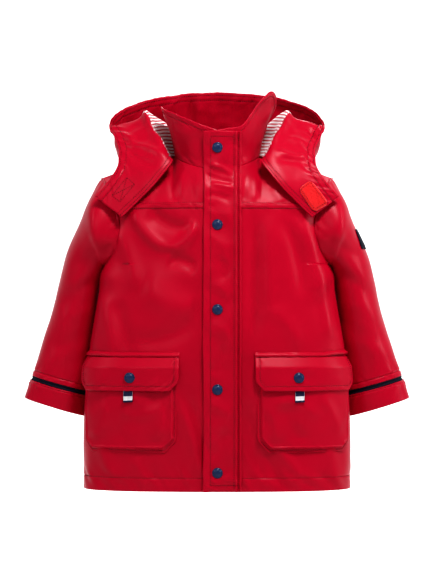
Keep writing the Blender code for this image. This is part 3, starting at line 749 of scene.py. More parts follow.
for side, across in (("left", 1), ("right", -1)):
    grid = smooth_rings.copy()
    x, z = grid[..., 0] + FOLD_SHIFT[side][0], grid[..., 2] + FOLD_SHIFT[side][1]
    toward_front = step(-(grid[..., 1] - grid[..., 1].mean(axis=1, keepdims=True)), -8, 12)
    folds = creases(x, z, SLEEVE_FOLDS) * toward_front + creases(x, z, SLEEVE_BACK_FOLDS) * (1 - toward_front)
    folds *= SLEEVE_FOLD_DEPTH
    uneven = ripple(grid * (across, 1, 1), 60, 1.8, 6) + ripple(grid * (across, 1, 1), 20, 0.25, 7)
    along = np.linspace(0, SLEEVE_GIRTH, SLEEVE_POINTS)[None] + 0 * sleeve_at[:, None]
    from_top = sleeve_at[:, None] + 0 * along
    from_piping = sleeve_length - from_top
    free = step(from_top, 0, 14) * step(from_piping, 0, 26)
    gathers = pucker(along, from_top, 9, 13, 2.0, 8) * step(from_top, 0, 3)
    gathers += pucker(along, from_piping, 8, 16, 1.8, 9) * step(from_piping, 0, 4)
    tuck = 1.5 * np.exp(-((from_piping - TUCK_FROM_PIPING) / 1.3) ** 2)
    tuck += 0.8 * np.exp(-((from_top - 2.5) / 1.6) ** 2)
    out = normals(grid, wraps=True)
    grid = (grid + out * ((folds + uneven) * free + gathers + tuck)[..., None]) * (across, 1, 1)
    out = normals(grid, wraps=True) * across
    sleeve = cloth(f"sleeve_{side}", grid, CLOTH, red_cloth, wraps=True, out=out)
    piece_of_cloth(sleeve, f"sleeve_{side}")
    body_pieces[f"sleeve_{side}"] = sleeve

    shares = (PIPING_START + np.linspace(0, PIPING_WIDTH, 9)) / cuff_length
    grid = rings[-1] + cuff_run * shares[:, None, None]
    crown = np.sin(np.linspace(0, math.pi, 9))[:, None]
    out = normals(grid, wraps=True)
    grid = (grid + out * (0.2 + 1.4 * crown)[..., None]) * (across, 1, 1)
    out = normals(grid, wraps=True) * across
    piping = cloth(f"piping_{side}", grid, PIPING_THICK, navy_tape, wraps=True, out=out)
    piece_of_cloth(piping, f"piping_{side}")

    low = (2 * PIPING_START + PIPING_WIDTH) / cuff_length
    shares = np.concatenate([np.linspace(low, low + 0.1, 6), np.linspace(low + 0.15, 1, 22)])
    grid = rings[-1] + cuff_run * shares[:, None, None]
    from_piping = (shares[:, None] - low) * cuff_length + 0 * along[0]
    along = np.linspace(0, CUFF_GIRTH, SLEEVE_POINTS)[None] + 0 * from_piping
    out = normals(grid, wraps=True)
    height = pucker(along, from_piping, 8, 10, 1.8, 10) + ripple(grid * (across, 1, 1), 26, 1.6, 11)
    height += 0.9 * np.exp(-((from_piping - 2.2) / 1.8) ** 2) - 0.5 * np.exp(-((from_piping - 4.8) / 1) ** 2)
    grid = (grid + out * (height * step(from_piping, -2, 3))[..., None]) * (across, 1, 1)
    out = normals(grid, wraps=True) * across
    cuff = cloth(f"cuff_{side}", grid, CUFF_THICK, red_cloth, wraps=True, out=out)
    piece_of_cloth(cuff, f"cuff_{side}")


# The collar: a stand of two plies sewn to the neck edge, worn open, so its two fronts lean out as
# leaves. Its edge is turned and topstitched.

COLLAR = {
    "angle": (-180, -135, -100, -85, -60, -35, -14, 0, 14, 30, 42, 62, 85, 110, 140, 180),
    "top_z": (44, 54, 72, 78, 69, 57, 47, 42, 44, 49, 66, 98, 88, 66, 52, 44),
    "flare": (6, 10, 18, 22, 20, 13, 7, 6, 7, 11, 16, 25, 27, 20, 10, 6),
}
TWO_PLY = 2.4
COLLAR_STITCH = 7.0

angles = np.linspace(0.6, 359.4, 230)
signed = np.where(angles > 180, angles - 360, angles)
collar_shares = np.concatenate([np.linspace(0, 0.82, 26), np.linspace(0.84, 1, 16)])
columns = []
for angle in signed:
    top_z = float(through(COLLAR["angle"], COLLAR["top_z"], angle))
    flare = float(through(COLLAR["angle"], COLLAR["flare"], angle))
    low = neck_point(angle, out=-0.5, up=0.2)
    out = np.array([math.sin(math.radians(angle)), -math.cos(math.radians(angle)), 0])
    columns.append([low + (0, 0, (top_z - low[2]) * t) + out * flare * t ** 1.5 for t in collar_shares])
grid = np.array(columns).transpose(1, 0, 2)
out = normals(grid)
around = run_along(grid)
from_edge = np.linalg.norm(grid - grid[-1], axis=2)
from_seam = np.linalg.norm(grid - grid[0], axis=2)
height = ripple(grid, 24, 2.6, 12) * step(from_seam, 0, 12)
height += pucker(around, from_edge - COLLAR_STITCH, 7, 7, 1.1, 13)
height -= 0.5 * np.exp(-((from_edge - COLLAR_STITCH) / 1.1) ** 2)
height += pucker(around, from_seam, 8, 10, 1.6, 14) * step(from_seam, 0, 4)
grid = grid + out * height[..., None]
collar = cloth("collar", grid, TWO_PLY, red_cloth)
piece_of_cloth(collar, "collar")



def line_in(grid, out, at):
    """A line along the grid's rows, through the point numbered at in each."""
    rows = np.arange(len(grid))
    return grid[rows, at] + out[rows, at] * STITCH_LIFT, out[rows, at]


stitched = np.argmin(np.abs(from_edge - COLLAR_STITCH), axis=0)
collar_line = line_in(grid.transpose(1, 0, 2), normals(grid).transpose(1, 0, 2), stitched)
sewn("collar_stitches", [collar_line], red_thread)


# The storm flap: two plies down the whole front, sewn to the wearer's left front by a double seam and
# free on the other edge. It covers the opening, and five press-studs hold it shut.

FLAP_X = (-19.0, 35.0)
FLAP_TOP = 40.0
FLAP_STITCH_X = -9.3
FLAP_SEAMS = (27.6, 33.6)
FLAP_SEAM_STITCHES = (24.4, 30.6)
FLAP_HEM_STITCH = 9
FLAP_TOP_STITCH = 7
FLAP_STEP = 1.5
FLAP_FOLDS = (
    (-12, -8, 22, -22, 3, 4, 2.4),
    (-16, -22, 24, -34, -3, 4, -2.2),
    (-10, -36, 26, -44, 3, 4, 2.0),
    (-16, -52, 20, -60, 3, 5, -1.5),
    (-16, -76, 22, -84, 3, 7, 1.6),
    (-12, -110, 20, -128, -4, 8, 1.6),
    (2, -140, 12, -172, 3, 6, -2.4),
    (-14, -180, 18, -200, 5, 8, 1.5),
    (-10, -236, 20, -262, 5, 10, 1.6),
    (8, -268, -8, -310, 4, 8, -1.6),
    (-12, -352, 20, -372, 4, 8, 1.5),
    (12, -388, -6, -432, 4, 8, -1.6),
    (-14, -440, 22, -462, -4, 7, 1.8),
)
SNAP_ZS = (17.0, -94.5, -216.5, -331.5, -451.0)
SNAP_X = 0.6

bed = tree_of(*(body_pieces[name] for name in ("left", "right", "yoke_left", "yoke_right")), collar)
xs = np.concatenate([
    np.linspace(FLAP_X[0], FLAP_X[0] + 6, 6),
    np.linspace(-11.5, 25, 22),
    np.linspace(26, FLAP_X[1], 12),
])
zs = np.concatenate([
    np.linspace(HEM_Z + 0.4, HEM_Z + 26, 18),
    np.linspace(HEM_Z + 30, YOKE_Z - 4, 96),
    np.linspace(YOKE_Z, FLAP_TOP, 56),
])
bed_y = np.array([[front_y(bed, x, z) or np.nan for x in xs] for z in zs])
for column in bed_y.T:
    known = ~np.isnan(column)
    column[:] = np.interp(zs, zs[known], column[known])
reached = bed_y.copy()
for _ in range(14):
    for view in (reached, reached.T):
        view[1:-1] = np.minimum(view[1:-1], (view[:-2] + 2 * view[1:-1] + view[2:]) / 4)
grid = np.stack([np.tile(xs, (len(zs), 1)), reached - 3.0, np.tile(zs[:, None], (1, len(xs)))], axis=2)
grid = softened(grid, 3)
x, z = grid[..., 0], grid[..., 2]
free_edge = 1 - step(x, FLAP_X[0], FLAP_X[0] + 16)
inside = step(x, FLAP_X[0] - 2, FLAP_X[0] + 9) * (1 - step(x, 20, 28))
height = (creases(x, z, FLAP_FOLDS) + ripple(grid, 20, 1.5, 15)) * (0.3 + 0.7 * inside)
height += free_edge * (2.0 + ripple(grid * (0.4, 0.4, 1), 34, 2.6, 16))
height += pucker(z, x - FLAP_STITCH_X, 8, 8, 1.2, 17) - 0.5 * np.exp(-((x - FLAP_STITCH_X) / 1.1) ** 2)
for seam_x, ridge in zip(FLAP_SEAMS, (2.2, 1.7)):
    height += ridge * np.exp(-((x - seam_x) / 1.7) ** 2) + pucker(z, x - seam_x, 6, 4, 1.2, 18 + seam_x)
height -= 1.4 * np.exp(-((x - sum(FLAP_SEAMS) / 2) / 1.1) ** 2)
away = z - HEM_Z - FLAP_HEM_STITCH
height += pucker(x, away, 9, 7, 1.0, 19) - 0.5 * np.exp(-(away / 1.2) ** 2)
for snap_z in SNAP_ZS:
    far = np.hypot(x - SNAP_X, z - snap_z)
    height *= 1 - 0.85 * np.exp(-(far / 12) ** 2)
    height -= 1.0 * np.exp(-(far / 11) ** 2)
grid[..., 1] -= np.maximum(height, -1.6)
wave = ripple(grid * (0.2, 0.2, 1), 70, 1.6, 20)
grid[..., 0] += free_edge * wave
storm_flap = cloth("storm_flap", grid, TWO_PLY - SEAM, red_cloth)
piece_of_cloth(storm_flap, "storm_flap")

flap_tree = tree_of(storm_flap)
down = np.arange(HEM_Z + FLAP_HEM_STITCH, FLAP_TOP - FLAP_TOP_STITCH, FLAP_STEP)
flap_lines = [
    line_on(flap_tree, [(FLAP_STITCH_X, z) for z in down]),
    line_on(flap_tree, [(x, HEM_Z + FLAP_HEM_STITCH) for x in np.arange(FLAP_STITCH_X, 33, FLAP_STEP)]),
    line_on(flap_tree, [(x, FLAP_TOP - FLAP_TOP_STITCH) for x in np.arange(FLAP_STITCH_X, 24, FLAP_STEP)]),
]
whole = np.arange(HEM_Z + 4, FLAP_TOP - 2, FLAP_STEP)
for seam_x in FLAP_SEAM_STITCHES:
    flap_lines.append(line_on(flap_tree, [(seam_x, z) for z in whole]))
sewn("flap_stitches", flap_lines, red_thread)

STITCHES_FROM = {"left": 36, "right": 20}  # beside the storm flap
HEM_STITCHES_TO = 193
YOKE_STITCHES_TO = 143

hem_lines = []
for side, across in (("left", 1), ("right", -1)):
    tree = tree_of(body_pieces[side])
    xs = np.arange(STITCHES_FROM[side], HEM_STITCHES_TO, 1.2)
    hem_lines.append(line_on(tree, [(across * x, HEM_Z + HEM_STITCH) for x in xs]))
    yoke_tree = tree_of(body_pieces[side], body_pieces[f"yoke_{side}"])
    xs = np.arange(STITCHES_FROM[side], YOKE_STITCHES_TO, 1.2)
    for strip_z in YOKE_STRIP:
        hem_lines.append(line_on(yoke_tree, [(across * x, strip_z) for x in xs]))
back_points = arc(HEM_Z + HEM_STITCH, MIDDLE, None, False, 200)
back_tree = tree_of(body_pieces["back"])
for across in (1, -1):
    laid, facing = [], []
    for point in back_points * (across, 1, 1):
        hit, normal, _, _ = back_tree.ray_cast(tuple(point * (2, 4, 1)), tuple(-point * (1, 1, 0)))
        if hit is not None:
            laid.append(np.array(hit))
            facing.append(np.array(normal))
    hem_lines.append((np.array(laid), np.array(facing)))
sewn("body_stitches", [line for line in hem_lines if len(line[0]) > 2], red_thread)

SNAP_SIDES = 48
SNAP_PROFILE = (  # radius, height of the domed cap
    (0, 3.1), (1.6, 3.06), (3.2, 2.88), (4.6, 2.48), (5.3, 2.02), (5.5, 1.72), (5.8, 1.66), (6.2, 1.86),
    (6.8, 1.9), (7.3, 1.55), (7.6, 0.9), (7.6, 0.1), (6.9, -0.3),
)

snap_plastic, snap_tree, snap_shader = finish("navy_snap_plastic")
snap_cloud = texture(snap_tree, "Noise", 500)
tinted(snap_tree, snap_shader, snap_cloud, (0.008, 0.022, 0.075), (0.012, 0.032, 0.105))
glossed(snap_tree, snap_shader, snap_cloud, 0.26, 0.40)


def snap(name, tree, x, z):
    """A domed cap turned about its own axis, seated on the cloth at x, z."""
    hit = front_y(tree, x, z)
    _, normal, _, _ = tree.ray_cast((x, -400, z), (0, 1, 0))
    facing = (Vector(normal) + Vector((0, -2, 0))).normalized()
    turn = facing.to_track_quat("Z", "Y")
    mesh = bmesh.new()
    rings = []
    for radius, height in SNAP_PROFILE[1:]:
        ring = []
        for angle in np.linspace(0, 2 * math.pi, SNAP_SIDES, endpoint=False):
            place = turn @ Vector((radius * math.cos(angle), radius * math.sin(angle), height))
            ring.append(mesh.verts.new((Vector((x, hit - 0.2, z)) + place) * MM))
        rings.append(ring)
    top = mesh.verts.new((Vector((x, hit - 0.2, z)) + turn @ Vector((0, 0, SNAP_PROFILE[0][1]))) * MM)
    for i in range(SNAP_SIDES):
        j = (i + 1) % SNAP_SIDES
        mesh.faces.new([top, rings[0][i], rings[0][j]])
        for ring, lower in zip(rings, rings[1:]):
            mesh.faces.new([ring[i], lower[i], lower[j], ring[j]])
    mesh.faces.new(rings[-1])
    bmesh.ops.recalc_face_normals(mesh, faces=mesh.faces)
    piece = as_piece(f"{name}_cap", mesh, snap_plastic)
    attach(piece, "root")
    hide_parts(name)


for number, z in enumerate(SNAP_ZS, 1):
    snap(f"snap_{number}", flap_tree, SNAP_X, z)


# The pockets: a bag with a face that stands off the body, sewn round three sides, under a flap that
# hangs from a welt. A press-stud holds the flap, and a folded tape hangs from under it.

POCKET = {"inner": 58.0, "outer": 204.0, "top": -300.0, "bottom": -422.0, "chamfer": 17.0}
POCKET_FLAP = {"inner": 55.0, "outer": 207.0, "top": -285.0, "bottom": -333.0, "chamfer": 13.0}
POCKET_RAISE = 3.2
POCKET_SNAP = {"left": 117.5, "right": 125.5}
POCKET_SNAP_Z = -314.5
TAB = {"left": 119.0, "right": 128.0}
TAB_HALF_WIDTH = 6.3
TAB_Z = (-350.0, -334.0)
WELT_HEIGHT = 6.4


def on_body(reaches, z, lift):
    """Points of the front at arc lengths from centre front, moved out by lift."""
    half_width, front, back, squareness = section(z)
    angles = np.linspace(0, math.pi, 900)
    depth = np.where(np.cos(angles) > 0, front, back)
    across = half_width * np.sin(angles).clip(0) ** (2 / squareness)
    deep = -depth * np.sign(np.cos(angles)) * np.abs(np.cos(angles)) ** (2 / squareness)
    run = np.concatenate([[0], np.cumsum(np.hypot(np.diff(across), np.diff(deep)))])
    x, y = np.interp(reaches, run, across), np.interp(reaches, run, deep)
    depth = np.where(y < 0, front, back)
    out = np.stack([np.abs(x / half_width) ** (squareness - 1) / half_width,
                    np.copysign(np.abs(y / depth) ** (squareness - 1) / depth, y), 0 * x], axis=1)
    out /= np.linalg.norm(out, axis=1, keepdims=True)
    return np.stack([x, y, 0 * x + z], axis=1) + out * np.reshape(lift, (-1, 1))


def outline(size, z):
    """Both ends of a row at height z, with the lower corners cut off and eased."""
    cut = max(0.0, size["bottom"] + size["chamfer"] - z)
    ease = 0.8 * math.exp(-((z - size["bottom"] - size["chamfer"]) / 3) ** 2)
    return size["inner"] + cut + ease, size["outer"] - cut - ease


def inset_from(size, reaches, z):
    """How far in from the outline the points of a row are, the cut corners included."""
    left, right, up = reaches - size["inner"], size["outer"] - reaches, z - size["bottom"]
    slant = (np.minimum(left, right) + up - size["chamfer"]) / math.sqrt(2)
    return np.maximum(np.minimum(np.minimum(left, right), np.minimum(up, slant)), 0)


def crowded(start, end, margin, edge_points, middle_points):
    """Values from start to end, closer together within margin of each end."""
    low = np.linspace(start, start + margin, edge_points)
    middle = np.linspace(start + margin, end - margin, middle_points + 2)[1:-1]
    return np.concatenate([low, middle, start + end - low[::-1]])


# Folds of a pocket's face in reach from the centre and z
BAG_FOLDS = {
    "left": (
        (80, -350, 150, -372, 8, 9, 2.2),
        (96, -352, 130, -410, -8, 10, -2.0),
        (150, -345, 180, -400, 6, 9, 2.0),
        (74, -360, 86, -410, 3, 7, 1.6),
    ),
    "right": (
        (70, -352, 140, -366, -8, 9, 2.0),
        (110, -356, 140, -412, 8, 10, -2.2),
        (160, -350, 184, -404, -6, 9, 2.2),
        (76, -356, 92, -408, -4, 8, 1.8),
    ),
}
for side, across in (("left", 1), ("right", -1)):
    flip = (across, 1, 1)
    rows, lifts = [], []
    bag_zs = crowded(POCKET["bottom"], POCKET["top"], 12, 14, 34)
    for z in bag_zs:
        low, high = outline(POCKET, z)
        reaches = crowded(low, high, 12, 12, 46)
        from_edge = inset_from(POCKET, reaches, z)
        height = SEAM + CLOTH + POCKET_RAISE * step(from_edge, 3.5, 7)
        height += 1.1 * np.exp(-((from_edge - 7.4) / 1.2) ** 2)
        height -= 0.5 * np.exp(-((from_edge - 2.6) / 0.8) ** 2)
        free = step(from_edge, 8, 22)
        height += creases(reaches, z + 0 * reaches, BAG_FOLDS[side]) * free
        height += 1.6 * np.exp(-((reaches - 131) / 46) ** 2 - ((z + 360) / 34) ** 2)
        rows.append(on_body(reaches, z, height) * flip)
        lifts.append(from_edge)
    grid, from_edge = np.array(rows), np.array(lifts)
    out = normals(grid) * across
    along = across * grid[..., 0] * 1.3 + grid[..., 2]
    height = pucker(along, from_edge - 4, 9, 8, 1.0, 22 + across)
    height += ripple(grid, 30, 1.6, 24) * step(from_edge, 2, 12)
    grid = grid + out * height[..., None]
    bag = cloth(f"pocket_bag_{side}", grid, CLOTH, red_cloth, out=out)
    piece_of_cloth(bag, f"pocket_bag_{side}")

    rows = []
    for z in crowded(POCKET_FLAP["bottom"], POCKET_FLAP["top"], 8, 9, 16):
        low, high = outline(POCKET_FLAP, z)
        reaches = crowded(low, high, 9, 9, 50)
        share = (POCKET_FLAP["top"] - z) / (POCKET_FLAP["top"] - POCKET_FLAP["bottom"])
        lift = SEAM + TWO_PLY + (POCKET_RAISE + CLOTH + 2.6) * min(1, share * 3.2)
        from_edge = inset_from(POCKET_FLAP, reaches, z)
        far = np.hypot(reaches - POCKET_SNAP[side] - 8, z - POCKET_SNAP_Z)
        wave = np.array([noise.noise(Vector((reach / 26, z / 40, 5 + across))) for reach in reaches])
        lift = lift + 1.8 * wave * step(share, 0.15, 0.9)
        lift = lift - 0.45 * np.exp(-((from_edge - 6) / 1.1) ** 2) - 0.9 * np.exp(-(far / 10) ** 2)
        lift = lift + pucker(reaches + z, from_edge - 6, 7, 7, 1.1, 26 + across)
        rows.append(on_body(reaches, z, lift) * flip)
    grid = np.array(rows)
    pocket_flap = cloth(f"pocket_flap_{side}", grid, 2.2, red_cloth, out=normals(grid) * across)
    piece_of_cloth(pocket_flap, f"pocket_flap_{side}")

    reaches = np.linspace(POCKET_FLAP["inner"] - 1, POCKET_FLAP["outer"] + 1, 110)
    rows = []
    for t in np.linspace(0, 1, 12):
        z = POCKET_FLAP["top"] + 0.3 + WELT_HEIGHT * t
        lift = SEAM + 1.4 + 2.6 * math.sin(math.pi * min(1, 0.2 + 0.85 * t)) + 0 * reaches
        wave = np.array([noise.noise(Vector((reach / 11, t, 9 + across))) for reach in reaches])
        rows.append(on_body(reaches, z, lift + 0.7 * wave) * flip)
    grid = np.array(rows)
    grid[..., 2] += (2.5 if side == "left" else 1.0) * step(np.abs(grid[..., 0]), 150, 176)
    welt = cloth(f"pocket_welt_{side}", grid, 1.6, red_cloth, out=normals(grid) * across)
    piece_of_cloth(welt, f"pocket_welt_{side}")

    flap_face, bag_face = tree_of(pocket_flap), tree_of(bag)
    snap(f"pocket_snap_{side}", flap_face, across * POCKET_SNAP[side], POCKET_SNAP_Z)
    lines = []
    for tree, size, inset, top in ((flap_face, POCKET_FLAP, 6.0, POCKET_FLAP["top"] - 2),
                                   (bag_face, POCKET, 3.6, POCKET_FLAP["bottom"] + 4)):
        low_z = size["bottom"] + inset
        path_points = []
        for z in np.arange(top, low_z, -1.5):
            path_points.append((outline(size, z)[0] + inset, z))
        low, high = outline(size, low_z)
        path_points += [(reach, low_z) for reach in np.arange(low + inset, high - inset, 1.5)]
        for z in np.arange(low_z, top, 1.5):
            path_points.append((outline(size, z)[1] - inset, z))
        off_and_on = np.array([30.0, 0.0])
        ends = [on_body(np.array([reach, reach]), z, off_and_on) * flip for reach, z in path_points]
        lines.append(laid_line(tree, [start for start, _ in ends], [end - start for start, end in ends]))
    sewn(f"pocket_stitches_{side}", lines, red_thread)


# The tab on each pocket: a loop of woven navy tape with a white centre, folded flat. Its ends are caught
# under the flap, and it hangs free below.

striped_tape, tab_tree, tab_shader = finish("striped_tape", 0.85)
tab_along = tab_tree.nodes.new("ShaderNodeAttribute")
tab_along.attribute_name = "length_share"
tab_band = tab_tree.nodes.new("ShaderNodeValToRGB")
tab_band.color_ramp.interpolation = "CONSTANT"
tab_band.color_ramp.elements[0].color = (0.010, 0.012, 0.050, 1)
tab_band.color_ramp.elements[1].position = 0.16
tab_band.color_ramp.elements[1].color = (0.62, 0.60, 0.62, 1)
tab_band.color_ramp.elements.new(0.54).color = (0.010, 0.012, 0.050, 1)
tab_tree.links.new(tab_along.outputs["Fac"], tab_band.inputs["Fac"])
tab_tree.links.new(tab_band.outputs["Color"], tab_shader.inputs["Base Color"])
dented(tab_tree, tab_shader, texture(tab_tree, "Voronoi", 1400), 0.5, 0.0003)


def marked(piece, name, values):
    """Keeps a value at each point of a shell's grid, for its material, on both of its faces."""
    flat = np.asarray(values, float).ravel()
    data = piece.data.attributes.new(name, "FLOAT", "POINT")
    kept = np.zeros(len(piece.data.vertices))
    count = min(len(flat) * 2, len(kept))
    kept[:count] = np.concatenate([flat, flat])[:count]
    data.data.foreach_set("value", kept)


for side, across in (("left", 1), ("right", -1)):
    tree = tree_of(bpy.data.objects[f"pocket_bag_{side}_cloth"])
    xs = across * TAB[side] + np.linspace(-TAB_HALF_WIDTH, TAB_HALF_WIDTH, 15)
    zs = np.concatenate([np.linspace(TAB_Z[0], TAB_Z[0] + 2, 5), np.linspace(TAB_Z[0] + 3.2, TAB_Z[1], 10)])
    rows = []
    for z in zs:
        bulge = 1.2 * math.exp(-((z - TAB_Z[0] - 1.5) / 2.5) ** 2)
        middle = front_y(tree, across * TAB[side], z)
        lift = 1.7 + bulge + 0.3 * np.abs(xs - across * TAB[side]) / TAB_HALF_WIDTH
        rows.append([
            (x, min(middle, front_y(tree, x, z)) - up, z + 0.05 * (x - xs[0])) for x, up in zip(xs, lift)
        ])
    tab = cloth(f"pocket_tab_{side}", np.array(rows), 1.0, striped_tape)
    marked(tab, "length_share", np.tile(((zs - TAB_Z[0]) / (TAB_Z[1] - TAB_Z[0]))[:, None], (1, len(xs))))
    piece_of_cloth(tab, f"pocket_tab_{side}")


# The hood: laid back open. Its shell is the same coated cloth, and its inner side, which shows, is a
# facing of that cloth along the opening and down the chin tabs, with a striped jersey lining inside.
# The opening's edge is turned and stitched twice, and the tabs are stitched to its front corners.

HOOD_RUNS = (0.0, 0.10, 0.20, 0.30, 0.40, 0.50, 0.60, 0.70, 0.80, 0.90, 1.0)
# From the centre back to the tip of the chin tab: neck, crest, fall, fold, rise, rim
HOOD_SECTIONS = (
    ((0, 59, 4), (0, 72, 18), (0, 90, -50), (0, 114, -140), (0, 148, -40), (0, 122, 112)),
    ((20, 57, 4), (27, 71, 20), (48, 88, -48), (56, 112, -130), (62, 144, -36), (50, 117, 109)),
    ((39, 49, 5), (54, 62, 38), (86, 78, -20), (100, 104, -92), (112, 128, -22), (97, 100, 100)),
    ((54, 38, 7), (76, 46, 59), (107, 61, 10), (128, 84, -28), (146, 92, 14), (139, 62, 80)),
    ((63, 20, 8), (99, 24, 75), (116, 31, 65), (133, 40, 58), (149, 42, 56), (159, 34, 55)),
    ((67, -2, 7), (96, -2, 56), (110, 3, 52), (124, 7, 45), (138, 9, 40), (152, 8, 39)),
    ((67, -26, 3), (82, -24, 30), (98, -21, 27), (114, -17, 24), (130, -14, 21), (144, -12, 20)),
    ((65, -48, -3), (80, -46, 4), (96, -41, 5), (112, -35, 5), (128, -30, 4), (143, -26, 4)),
    ((90, -60, -35), (101, -57, -30), (112, -52, -25), (123, -47, -20), (134, -42, -15), (145, -38, -11)),
    ((114, -58, -60), (123, -56, -54), (132, -53, -48), (141, -50, -42), (150, -48, -37), (158, -45, -32)),
    ((138, -56, -83), (145, -54, -77), (153, -52, -71), (161, -50, -65), (168, -48, -59), (176, -46, -53)),
)
BACK_SHARES = (0, 0.11, 0.22, 0.35, 0.47, 0.56, 0.65, 0.80, 0.85, 0.90, 0.94, 0.97, 1)
FRONT_SHARES = (0, 0.03, 0.06, 0.09, 0.12, 0.14, 0.16, 0.18, 0.22, 0.32, 0.50, 0.75, 1)
HOOD_TURN = (0.30, 0.46)
LINING_SHARE = 7 / 12
LINED_POINTS = 50  # points of a row that the lining covers
LINING_END = 0.62
TAB_LIFT = 3.2
SHELL_GAP = 2.2  # from the facing's face to the shell's
FACING_THICK = 1.0
RIM_BAND = 11.0
RIM_STITCHES = (3.0, RIM_BAND)
TAB_STITCHES = (3.0, 8.0)
TAB_FROM = 0.64  # the run at which the chin tabs start
# Folds of the hood by x and height on the side that faces the front: soft ones stand up in the middle
HOOD_FOLDS = (
    (-84, 20, -60, 112, 6, 7, 2.6),
    (-52, 10, -40, 108, -4, 6, -2.4),
    (-22, 4, -26, 106, 4, 7, 2.4),
    (6, 0, 2, 110, -3, 6, -2.0),
    (34, 6, 28, 110, 4, 7, 2.4),
    (62, 14, 50, 110, -4, 6, -2.4),
    (92, 22, 76, 104, 6, 7, 2.2),
)
LOBE_FOLDS = (
    (-134, 26, -76, 4, 5, 5, 3.2),
    (-128, 12, -84, -10, -3, 5, -2.6),
    (-140, -4, -100, -22, 3, 5, 1.8),
    (-146, 44, -120, 22, 4, 6, 2.2),
    (84, 14, 134, 4, -3, 5, 2.8),
    (88, 0, 136, -8, 3, 5, -2.4),
    (104, 34, 140, 20, 4, 6, 2.4),
    (112, 50, 146, 40, 3, 5, -1.8),
)


def hood_points(run, shares):
    """Points of the hood's inner face across a section; run is -1 to 1 from tab tip to tab tip."""
    sections = np.array(HOOD_SECTIONS, float)
    points = through(HOOD_RUNS, sections.reshape(len(HOOD_RUNS), -1), abs(run)).reshape(-1, 3)
    found = through(np.linspace(0, 1, len(points)), points, shares)
    found[:, 0] *= math.copysign(1, run)
    return found


under_tabs = tree_of(*(body_pieces[name] for name in (
    "left", "right", "yoke_left", "yoke_right", "sleeve_left", "sleeve_right")))
hood_runs = np.linspace(-1, 1, 281)
fine = np.concatenate([np.linspace(0, LINING_SHARE, LINED_POINTS), np.linspace(LINING_SHARE, 1, 63)[1:]])
rows = []
for run in hood_runs:
    turned = np.interp(abs(run), HOOD_TURN, (0, 1))
    shares = (1 - turned) * np.array(BACK_SHARES) + turned * np.array(FRONT_SHARES)
    rows.append(hood_points(run, np.interp(fine, np.linspace(0, 1, len(shares)), shares)))
grid = np.array(rows)
for i, j in zip(*np.nonzero((grid[..., 2] < 8) & (grid[..., 1] < 0))):
    x, y, z = grid[i, j]
    ahead = front_y(under_tabs, x, z)
    if ahead is not None:
        grid[i, j, 1] = min(y, ahead - TAB_LIFT)
grid = softened(grid, 2)
out = -normals(grid)
x, z = grid[..., 0], grid[..., 2]
along_edge = np.cumsum(np.concatenate([[0], np.linalg.norm(np.diff(grid[:, -1], axis=0), axis=1)]))[:, None]
from_rim = np.linalg.norm(grid - grid[:, -1:], axis=2)
is_tab = step(np.abs(hood_runs), 0.66, 0.76)[:, None]
height = FOLD_DEPTH * creases(x, z, HOOD_FOLDS) * step(grid[..., 1], 60, 90)
height += creases(x, z, LOBE_FOLDS) * step(40 - grid[..., 1], 0, 25) * (1 - 0.6 * is_tab)
height += (ripple(grid, 34, 3.4, 31) + ripple(grid, 13, 0.9, 32)) * (1 - 0.75 * is_tab)
height += pucker(along_edge + 0 * from_rim, from_rim - RIM_BAND, 8, 10, 2.0, 33, lean=1.0)
height += 0.6 * (1 - step(from_rim, RIM_BAND - 0.8, RIM_BAND + 0.8))
height -= 0.6 * np.exp(-((from_rim - RIM_BAND) / 1.1) ** 2)
height *= step(np.linalg.norm(grid - grid[:, :1], axis=2), 0, 6)
base = grid + out * height[..., None]
out = -normals(base)
hood_shell = cloth("hood_shell", base - out * SHELL_GAP, CLOTH, red_cloth, out=out)
piece_of_cloth(hood_shell, "hood_shell")

quads = np.ones((len(hood_runs) - 1, base.shape[1] - 1), bool)
lined = np.abs((hood_runs[1:] + hood_runs[:-1]) / 2) < LINING_END
quads[lined, :LINED_POINTS - 1] = False
hood_facing = cloth("hood_facing", base, FACING_THICK, red_cloth, out=out, cells=quads)
piece_of_cloth(hood_facing, "hood_facing")

jersey, jersey_tree, jersey_shader = finish("striped_jersey", 0.92)
jersey_row = jersey_tree.nodes.new("ShaderNodeAttribute")
jersey_row.attribute_name = "stripe"
jersey_wave = jersey_tree.nodes.new("ShaderNodeMath")
jersey_wave.operation = "FRACT"
jersey_ramp = jersey_tree.nodes.new("ShaderNodeValToRGB")
jersey_ramp.color_ramp.interpolation = "CONSTANT"
jersey_ramp.color_ramp.elements[0].color = (0.50, 0.004, 0.03, 1)
jersey_ramp.color_ramp.elements[1].position = 0.42
jersey_ramp.color_ramp.elements[1].color = (0.86, 0.83, 0.84, 1)
jersey_tree.links.new(jersey_row.outputs["Fac"], jersey_wave.inputs[0])
jersey_tree.links.new(jersey_wave.outputs["Value"], jersey_ramp.inputs["Fac"])
jersey_tree.links.new(jersey_ramp.outputs["Color"], jersey_shader.inputs["Base Color"])
dented(jersey_tree, jersey_shader, texture(jersey_tree, "Voronoi", 900), 0.5, 0.0004)
jersey_shader.inputs["Sheen Weight"].default_value = 0.3

STRIPE_PITCH = 5.4
first, last = np.flatnonzero(lined)[[0, -1]] + (0, 2)
lining_grid = (base - out * 0.1)[first:last, :LINED_POINTS]
lining = cloth("hood_lining", lining_grid, 0.9, jersey, out=out[first:last, :LINED_POINTS])
marked(lining, "stripe", run_along(lining_grid) / STRIPE_PITCH)
piece_of_cloth(lining, "hood_lining")

